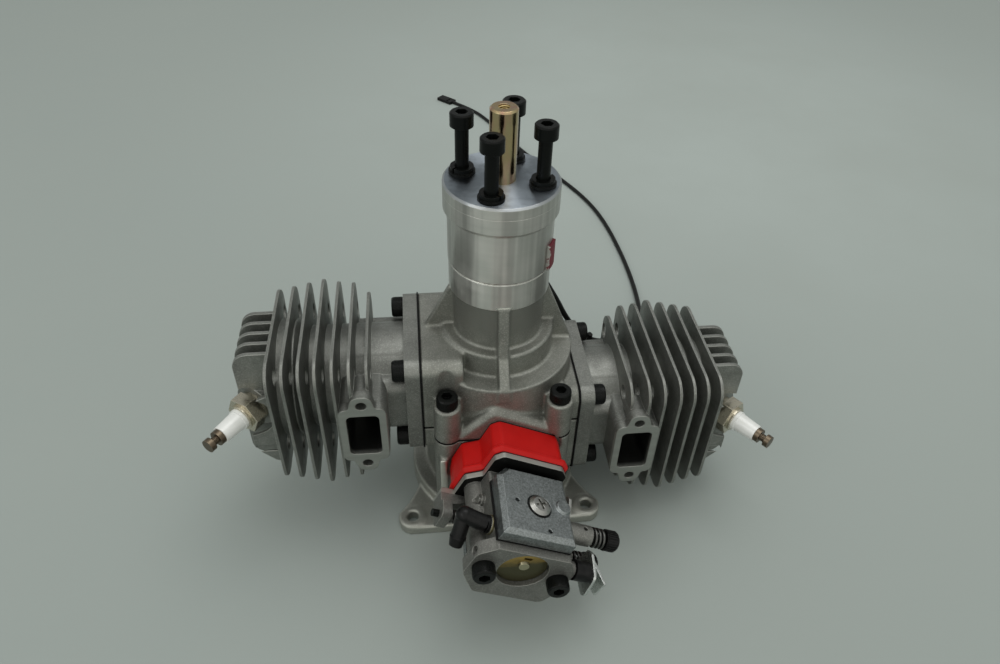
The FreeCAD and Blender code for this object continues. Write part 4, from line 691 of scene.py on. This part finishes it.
# -------------------- settings
class EngineColours(bpy.types.PropertyGroup):
    """Colours of the engine's finishes."""

    casting: FloatVectorProperty(name="Casting", description="Blasted cast aluminium",
                                 subtype="COLOR", default=(0.235, 0.24, 0.215), min=0, max=1)
    cylinder: FloatVectorProperty(name="Cylinder", description="Blasted cylinders and their fins",
                                  subtype="COLOR", default=(0.208, 0.214, 0.197), min=0, max=1)
    carburettor: FloatVectorProperty(name="Carburettor", description="Cast carburettor body",
                                     subtype="COLOR", default=(0.19, 0.19, 0.175), min=0, max=1)
    turned: FloatVectorProperty(name="Turned parts", description="Turned aluminium of the propeller hub",
                                subtype="COLOR", default=(0.62, 0.62, 0.58), min=0, max=1)
    isolator: FloatVectorProperty(name="Isolator", description="Plastic block between carburettor and case",
                                  subtype="COLOR", default=(0.45, 0.006, 0.005), min=0, max=1)
    cover: FloatVectorProperty(name="Pump cover", description="Zinc cover of the fuel pump",
                               subtype="COLOR", default=(0.26, 0.28, 0.28), min=0, max=1)
    black_steel: FloatVectorProperty(name="Black steel", description="Black-oxide bolts",
                                     subtype="COLOR", default=(0.003, 0.0036, 0.0032), min=0, max=1)


class EngineSizes(bpy.types.PropertyGroup):
    """Sizes of the pieces made here."""

    cable_diameter: FloatProperty(name="Cable diameter", description="Jacket of the sensor cable",
                                  default=2.6 * MM, min=1 * MM, max=6 * MM, unit="LENGTH")


class StageSettings(bpy.types.PropertyGroup):
    """Floor and light."""

    floor_colour: FloatVectorProperty(name="Floor", description="Pale floor", subtype="COLOR",
                                      default=(0.322, 0.357, 0.334), min=0, max=1)
    floor_size: FloatProperty(name="Floor size", description="Length of the floor's side",
                              default=8.0, min=1.0, max=30.0, unit="LENGTH")
    room_strength: FloatProperty(name="Room light", description="Level of the light from all round",
                                 default=0.62, min=0.0, max=2.0)
    lamp_power: FloatProperty(name="Lamp power", description="Power of the main soft lamp",
                              default=4.2, min=0.0, max=100.0, unit="POWER")


class EngineSettings(bpy.types.PropertyGroup):
    """Everything that a user would change."""

    colours: PointerProperty(type=EngineColours)
    sizes: PointerProperty(type=EngineSizes)
    stage: PointerProperty(type=StageSettings)


# -------------------- operators
class ENGINE_OT_stage(bpy.types.Operator):
    """Make the camera, the pale floor and the soft light"""

    bl_idname = "engine.stage"
    bl_label = "Stage and light"

    def execute(self, context):
        settings = context.scene.engine.stage
        self.make_camera(context)
        self.make_floor(context, settings)
        self.make_room(context, settings)
        self.make_lamps(context, settings)
        context.scene.view_settings.view_transform = "Standard"
        return {"FINISHED"}

    def make_camera(self, context):
        data = bpy.data.cameras.new("camera")
        camera = bpy.data.objects.new("camera", data)
        context.scene.collection.objects.link(camera)
        data.lens, data.sensor_width = CAMERA_LENS, CAMERA_SENSOR
        data.clip_start, data.clip_end = 0.01, 50.0
        axes = (CAMERA_FORWARD.cross(CAMERA_UP), CAMERA_UP, -CAMERA_FORWARD)
        camera.matrix_world = Matrix.Translation(CAMERA_PLACE) @ Matrix(axes).transposed().to_4x4()
        context.scene.camera = camera

    def make_floor(self, context, settings):
        half = settings.floor_size / 2
        mesh = bpy.data.meshes.new("floor")
        mesh.from_pydata([(-half, -half, 0), (half, -half, 0), (half, half, 0), (-half, half, 0)],
                         [], [(0, 1, 2, 3)])
        mesh.materials.append(floor_material(settings.floor_colour))
        floor = bpy.data.objects.new("floor", mesh)
        context.scene.collection.objects.link(floor)

    def make_room(self, context, settings):
        world = bpy.data.worlds.new("pale_room")
        context.scene.world = world
        world.use_nodes = True
        wires = Wiring(world.node_tree)
        x, y, z = wires.xyz(wires.node("ShaderNodeTexCoord").outputs["Generated"])
        left, right, back = (1.0, 1.02, 0.99, 1), (0.86, 0.88, 0.85, 1), (0.42, 0.44, 0.44, 1)
        front, ceiling = (1.6, 1.6, 1.52, 1), (1.35, 1.36, 1.31, 1)
        behind = wires.times(wires.ramp(y, 0.15, 0.75), wires.ramp(z, 0.1, 0.35))
        colour = wires.blend(wires.ramp(x, -0.7, 0.7), left, right)
        colour = wires.blend(wires.times(behind, 0.75), colour, back)
        colour = wires.blend(wires.ramp(y, -0.2, -0.8), colour, front)
        colour = wires.blend(wires.ramp(z, 0.62, 0.9), colour, ceiling)
        shader = world.node_tree.nodes["Background"]
        wires.feed(shader.inputs["Color"], colour)
        shader.inputs["Strength"].default_value = settings.room_strength

    def make_lamps(self, context, settings):
        aim = Vector((0, 0, 0.06))
        main = ("main_lamp", (0.22, 0.18, 1.25), 0.8, 1.0)
        side = ("side_lamp", (-0.9, -0.5, 0.9), 0.6, 0.45)
        for name, place, size, share in (main, side):
            data = bpy.data.lights.new(name, "AREA")
            data.shape = "SQUARE"
            data.size = size
            data.energy = settings.lamp_power * share
            lamp = bpy.data.objects.new(name, data)
            context.scene.collection.objects.link(lamp)
            lamp.location = place
            lamp.rotation_mode = "QUATERNION"
            lamp.rotation_quaternion = (aim - Vector(place)).to_track_quat("-Z", "Y")


class ENGINE_OT_sensor_cable(bpy.types.Operator):
    """Lay the ignition sensor's cable with its tie and plug"""

    bl_idname = "engine.sensor_cable"
    bl_label = "Sensor cable"

    def execute(self, context):
        sizes = context.scene.engine.sizes
        jacket = plain_plastic("cable_jacket", (0.005, 0.0055, 0.005), 0.4, edge_highlight=1.2)
        plug = plain_plastic("plug_plastic", (0.005, 0.0055, 0.005), 0.5)
        curve = bpy.data.curves.new("sensor_cable_run", "CURVE")
        curve.dimensions = "3D"
        line = curve.splines.new("NURBS")
        line.points.add(len(CABLE_POINTS) - 1)
        for knot, place in zip(line.points, CABLE_POINTS):
            knot.co = (*(c * MM for c in place), 1.0)
        line.order_u = 3
        line.use_endpoint_u = True
        curve.resolution_u = 12
        curve.bevel_depth = sizes.cable_diameter / 2
        curve.bevel_resolution = 5
        curve.use_fill_caps = True
        cable = new_piece("sensor_cable_run", curve, jacket, "engine_block",
                          ["sensor_cable"])
        dress(plug, "cable_tie", "sensor_plug")
        return {"FINISHED"}


class ENGINE_OT_castings(bpy.types.Operator):
    """Finish the crankcase, the cylinders and the carburettor body"""

    bl_idname = "engine.castings"
    bl_label = "Castings"

    def execute(self, context):
        colours = context.scene.engine.colours
        # light painted shade on the snout's neck
        dress(cast_material("crankcase_front_casting", colours.casting, band_zone, darkened=snout_shade_zone,
                            dark=0.92), "crankcase_front")
        # the rear case's mask also paints light on its feet
        dress(cast_material("crankcase_rear_casting", colours.casting, strip_and_feet_light, cut=(2.2, 2.6, 0.4)),
              "crankcase_rear")
        soften("crankcase_front", voxel=0.62 * MM, passes=2)
        soften("crankcase_rear", voxel=0.75 * MM, passes=3)
        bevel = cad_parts["carb_body"].modifiers.new("edges", "BEVEL")
        bevel.width = 0.25 * MM
        bevel.limit_method = "ANGLE"
        bevel.angle_limit = math.radians(40)
        # near-black painted shade inside the exhaust ports
        dress(cast_material("cylinder_casting", colours.cylinder, port_zone, cut=(1.25, 1.6, 0.35),
                            darkened=port_shade_zone, depth=0.09 * MM, edge=0.5 * MM),
              "left_cylinder", "right_cylinder")
        # near-black painted shade in the gap in front of the carburettor's flange
        dress(cast_material("carburettor_casting", colours.carburettor, carb_flange_zone,
                            cut=(1.9, 2.3, 0.4), darkened=flange_gap_shade_zone, dark=0.06, depth=0.1 * MM,
                            edge=0.45 * MM), "carb_body", "reed_cage")
        return {"FINISHED"}


class ENGINE_OT_hub(bpy.types.Operator):
    """Finish the turned propeller hub, its washer, bracket and pilot"""

    bl_idname = "engine.hub"
    bl_label = "Propeller hub"

    def execute(self, context):
        colours = context.scene.engine.colours
        metal = turned_material("turned_hub", colours.turned)
        dress(metal, "prop_hub")
        # bluish painted reflection on the washer's flat face
        dress(turned_material("turned_washer", colours.turned, face=(0.33, 0.37, 0.41)), "prop_washer")
        self.make_band(metal)
        dress(plain_metal("bracket_sheet", colours.turned, 0.32), "sensor_bracket")
        dress(gilt_material(), "pilot_shaft")
        dress(paint_material(colours.turned), "magnet_seal")
        dress(plain_metal("magnet", (0.3, 0.3, 0.3), 0.3), "timing_magnet")
        return {"FINISHED"}

    def make_band(self, metal):
        """Bright skin that stands a hair proud of the band round the snout's end."""
        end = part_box("crankcase_front")[1].z
        corners = [(-0.2, BAND_WIDTH - 0.04), (0.04, BAND_WIDTH - 0.04), (0.04, 0.55), (-0.45, 0.01),
                   (-0.5, 0.01), (-0.5, 6.0)]
        profile = [((BAND_RADIUS + out) * MM, end - down * MM) for out, down in corners]
        new_piece("snout_band", ring_mesh("snout_band", Matrix(), profile), metal, "engine_block")


class ENGINE_OT_fasteners(bpy.types.Operator):
    """Finish the bolts, washers and gaskets"""

    bl_idname = "engine.fasteners"
    bl_label = "Fasteners and gaskets"

    def execute(self, context):
        colours = context.scene.engine.colours
        steel = plain_metal("black_steel", colours.black_steel, 0.26, metallic=0.0, edge_highlight=3.0,
                            depth=0.015 * MM, shine=0.14)
        dress(steel, "case_bolts", "cylinder_bolts", "prop_bolts", "prop_bolt_washers", "carb_bolts",
              "idle_screw", "sensor_screws")
        dress(gasket_material(), "crankcase_gaskets", "intake_gaskets", "carb_cover_gaskets")
        return {"FINISHED"}


class ENGINE_OT_spark_plugs(bpy.types.Operator):
    """Finish the two spark plugs"""

    bl_idname = "engine.spark_plugs"
    bl_label = "Spark plugs"

    def execute(self, context):
        dress(plain_metal("nickel_shell", (0.56, 0.52, 0.42), 0.22, edge_highlight=1.5), "plug_shells")
        dress(ceramic_material(), "plug_insulators")
        dress(plain_metal("bronze_terminal", (0.15, 0.12, 0.085), 0.32, edge_highlight=2.4), "plug_terminals")
        return {"FINISHED"}


class ENGINE_OT_carburettor(bpy.types.Operator):
    """Finish the carburettor's covers, shafts, screws and its isolator"""

    bl_idname = "engine.carburettor"
    bl_label = "Carburettor and intake"

    def execute(self, context):
        colours = context.scene.engine.colours
        dress(plain_plastic("red_isolator", colours.isolator, 0.4, edge=0.5 * MM, edge_highlight=1.5, dusty=0.0),
              "intake_isolator")
        dress(zinc_material(colours.cover), "pump_cover", "metering_cover")
        dress(plain_metal("nickel_steel", (0.36, 0.36, 0.34), 0.26, edge_highlight=1.7), "carb_cover_screws",
              "throttle_shaft", "throttle_lever")
        dress(plain_metal("bright_steel", (0.62, 0.64, 0.62), 0.2, edge_highlight=1.4), "choke_shaft", "choke_lever")
        dress(plain_plastic("black_plastic", (0.004, 0.004, 0.004), 0.3), "fuel_elbow", "choke_bush",
              "high_speed_needle", "low_speed_needle", "sensor_body")
        dress(brass_material(), "throttle_plate", "choke_plate")
        dress(plain_metal("brass_screw", (0.42, 0.39, 0.26), 0.3, edge_highlight=1.8), "choke_screw")
        dress(plain_metal("spring_steel", (0.10, 0.10, 0.095), 0.3, edge_highlight=1.6), "adjuster_springs")
        dress(plain_plastic("reed_sheet", (0.03, 0.03, 0.028), 0.4), "reed_petals")
        return {"FINISHED"}


class ENGINE_OT_small_detail(bpy.types.Operator):
    """Add the knurls, threads and fittings that are too small for the solid model"""

    bl_idname = "engine.small_detail"
    bl_label = "Small detail"

    def execute(self, context):
        colours = context.scene.engine.colours
        steel = plain_metal("knurled_steel", colours.black_steel, 0.3, metallic=0.0, edge_highlight=3.0, shine=0.14)
        black = plain_plastic("knurled_plastic", (0.006, 0.006, 0.006), 0.4)
        self.knurl_bolts(steel)
        self.rib_needles(black)
        self.thread_pilot()
        self.thread_terminals()
        self.fit_inlet(black)
        return {"FINISHED"}

    def knurl_bolts(self, steel):
        """Fine upright knurl on the heads of the case, cylinder and carburettor bolts."""
        heads = [Matrix.Translation(Vector((x, y, CASE_HEAD_Z)) * MM)
                 for x in (-CASE_HEAD_X, CASE_HEAD_X) for y in (-CASE_HEAD_Y, CASE_HEAD_Y)]
        sideways = Matrix.Rotation(math.pi / 2, 4, "Y")
        for side, height in CYLINDERS:
            for y in (-CYLINDER_HEAD_Y, CYLINDER_HEAD_Y):
                for rise in (-CYLINDER_HEAD_RISE, CYLINDER_HEAD_RISE):
                    centre = Vector((side * CYLINDER_HEAD_X, y, height + rise)) * MM
                    heads.append(Matrix.Translation(centre) @ sideways)
        for side in (-CARB_HEAD_SIDE, CARB_HEAD_SIDE):
            heads.append(in_carburettor(side, CARB_HEAD_Y, CARB_HEAD_LEVEL, AXIS_Y))
        mesh = grown_mesh("bolt_knurls", "ribbed_rings", [spot(head) for head in heads], steel, Count=46,
                          Radius=4.22 * MM, Rib=(0.26 * MM, 0.28 * MM, 3.6 * MM))
        new_piece("bolt_knurls", mesh, steel, "engine_block")

    def rib_needles(self, black):
        """Ribs round the caps of the two speed needles."""
        for name, level in NEEDLES:
            caps = [spot(in_carburettor(NEEDLE_CAP_SIDE, NEEDLE_Y, level, AXIS_X))]
            mesh = grown_mesh(name + "_needle_ribs", "ribbed_rings", caps, black, Count=26,
                              Radius=NEEDLE_CAP_RADIUS * MM, Rib=(0.7 * MM, 0.42 * MM, 4.4 * MM))
            new_piece(name + "_needle_ribs", mesh, black, name + "_speed_adjuster")

    def thread_pilot(self):
        """Thread in the end of the pilot shaft."""
        gilt = bpy.data.materials["gilt_steel"]
        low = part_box("pilot_shaft")[1].z - (PILOT_THREAD_LENGTH + 0.4) * MM
        mesh = grown_mesh("pilot_thread", "thread_turns", [((0, 0, low), (0, 0, 0))], gilt,
                          Radius=PILOT_HOLE_RADIUS * MM, Length=PILOT_THREAD_LENGTH * MM, Pitch=0.8 * MM,
                          Wire=0.28 * MM)
        new_piece("pilot_thread", mesh, gilt, "crankshaft")

    def thread_terminals(self):
        """Threads on the necks of the spark plug terminals."""
        bronze = bpy.data.materials["bronze_terminal"]
        places = []
        for side, height in CYLINDERS:
            axis = Vector((side * math.cos(PLUG_ANGLE), -math.sin(PLUG_ANGLE), 0))
            neck = Vector((side * PLUG_SEAT_X, PLUG_SEAT_Y, height)) * MM + axis * PLUG_NECK * MM
            places.append(spot(Matrix.Translation(neck) @ turned_to(axis)))
        mesh = grown_mesh("terminal_threads", "thread_turns", places, bronze, Radius=1.5 * MM,
                          Length=2.2 * MM, Pitch=0.7 * MM, Wire=0.26 * MM)
        new_piece("terminal_threads", mesh, bronze, "engine_block")

    def fit_inlet(self, black):
        """Brass sleeve and rubber ring round the stem of the fuel inlet."""
        olive = plain_metal("olive_sleeve", (0.22, 0.20, 0.12), 0.4, edge_highlight=1.8)
        stem = in_carburettor(*INLET_PLACE, AXIS_X)
        bore = 3.3 * MM
        sleeve = [(bore, 0), (3.7 * MM, 0.2 * MM), (3.7 * MM, 1.6 * MM), (bore, 1.8 * MM)]
        ring = [(bore, 1.9 * MM), (3.9 * MM, 2.2 * MM), (3.9 * MM, 3.4 * MM), (bore, 3.7 * MM)]
        new_piece("inlet_sleeve", ring_mesh("inlet_sleeve", stem, sleeve), olive, "engine_block")
        new_piece("inlet_ring", ring_mesh("inlet_ring", stem, ring), black, "engine_block")


class ENGINE_OT_running_gear(bpy.types.Operator):
    """Finish the crankshaft, bearings and pistons"""

    bl_idname = "engine.running_gear"
    bl_label = "Running gear"

    def execute(self, context):
        dress(plain_metal("ground_steel", (0.52, 0.52, 0.51), 0.25), "crankshaft_front", "crankshaft_rear",
              "crank_centre_web", "crank_pins", "bearing_outer_rings", "bearing_inner_rings",
              "bearing_balls", "left_piston_ring", "right_piston_ring", "left_wrist_pin",
              "right_wrist_pin")
        dress(plain_metal("piston_alloy", (0.55, 0.55, 0.54), 0.4), "left_piston", "right_piston")
        dress(plain_plastic("seal_rubber", (0.02, 0.02, 0.02), 0.6), "shaft_seal")
        return {"FINISHED"}


class ENGINE_PT_panel(bpy.types.Panel):
    """Lists the engine's operators"""

    bl_idname = "ENGINE_PT_panel"
    bl_label = "Flat twin engine"
    bl_space_type = "VIEW_3D"
    bl_region_type = "UI"
    bl_category = "Engine"

    def draw(self, context):
        settings = context.scene.engine
        for group in (settings.colours, settings.sizes, settings.stage):
            box = self.layout.box()
            for name in group.bl_rna.properties.keys():
                if name not in ("rna_type", "name"):
                    box.prop(group, name)
        for operator in OPERATORS:
            self.layout.operator(operator.bl_idname)


OPERATORS = (ENGINE_OT_stage, ENGINE_OT_sensor_cable, ENGINE_OT_castings, ENGINE_OT_hub,
             ENGINE_OT_fasteners, ENGINE_OT_spark_plugs, ENGINE_OT_carburettor, ENGINE_OT_small_detail,
             ENGINE_OT_running_gear)
CLASSES = (EngineColours, EngineSizes, StageSettings, EngineSettings) + OPERATORS + (ENGINE_PT_panel,)


def register():
    for kind in CLASSES:
        bpy.utils.register_class(kind)
    bpy.types.Scene.engine = PointerProperty(type=EngineSettings)


def unregister():
    del bpy.types.Scene.engine
    for kind in reversed(CLASSES):
        bpy.utils.unregister_class(kind)


def main():
    register()
    for make in (make_blasted_grain, make_soft_edges, make_lathe_marks, make_fine_specks, make_settled_dust,
                 make_ribbed_rings, make_thread_turns):
        make()
    bpy.ops.engine.stage()
    bpy.ops.engine.sensor_cable()
    bpy.ops.engine.castings()
    bpy.ops.engine.hub()
    bpy.ops.engine.fasteners()
    bpy.ops.engine.spark_plugs()
    bpy.ops.engine.carburettor()
    bpy.ops.engine.small_detail()
    bpy.ops.engine.running_gear()
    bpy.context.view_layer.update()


if __name__ == "__main__":
    main()
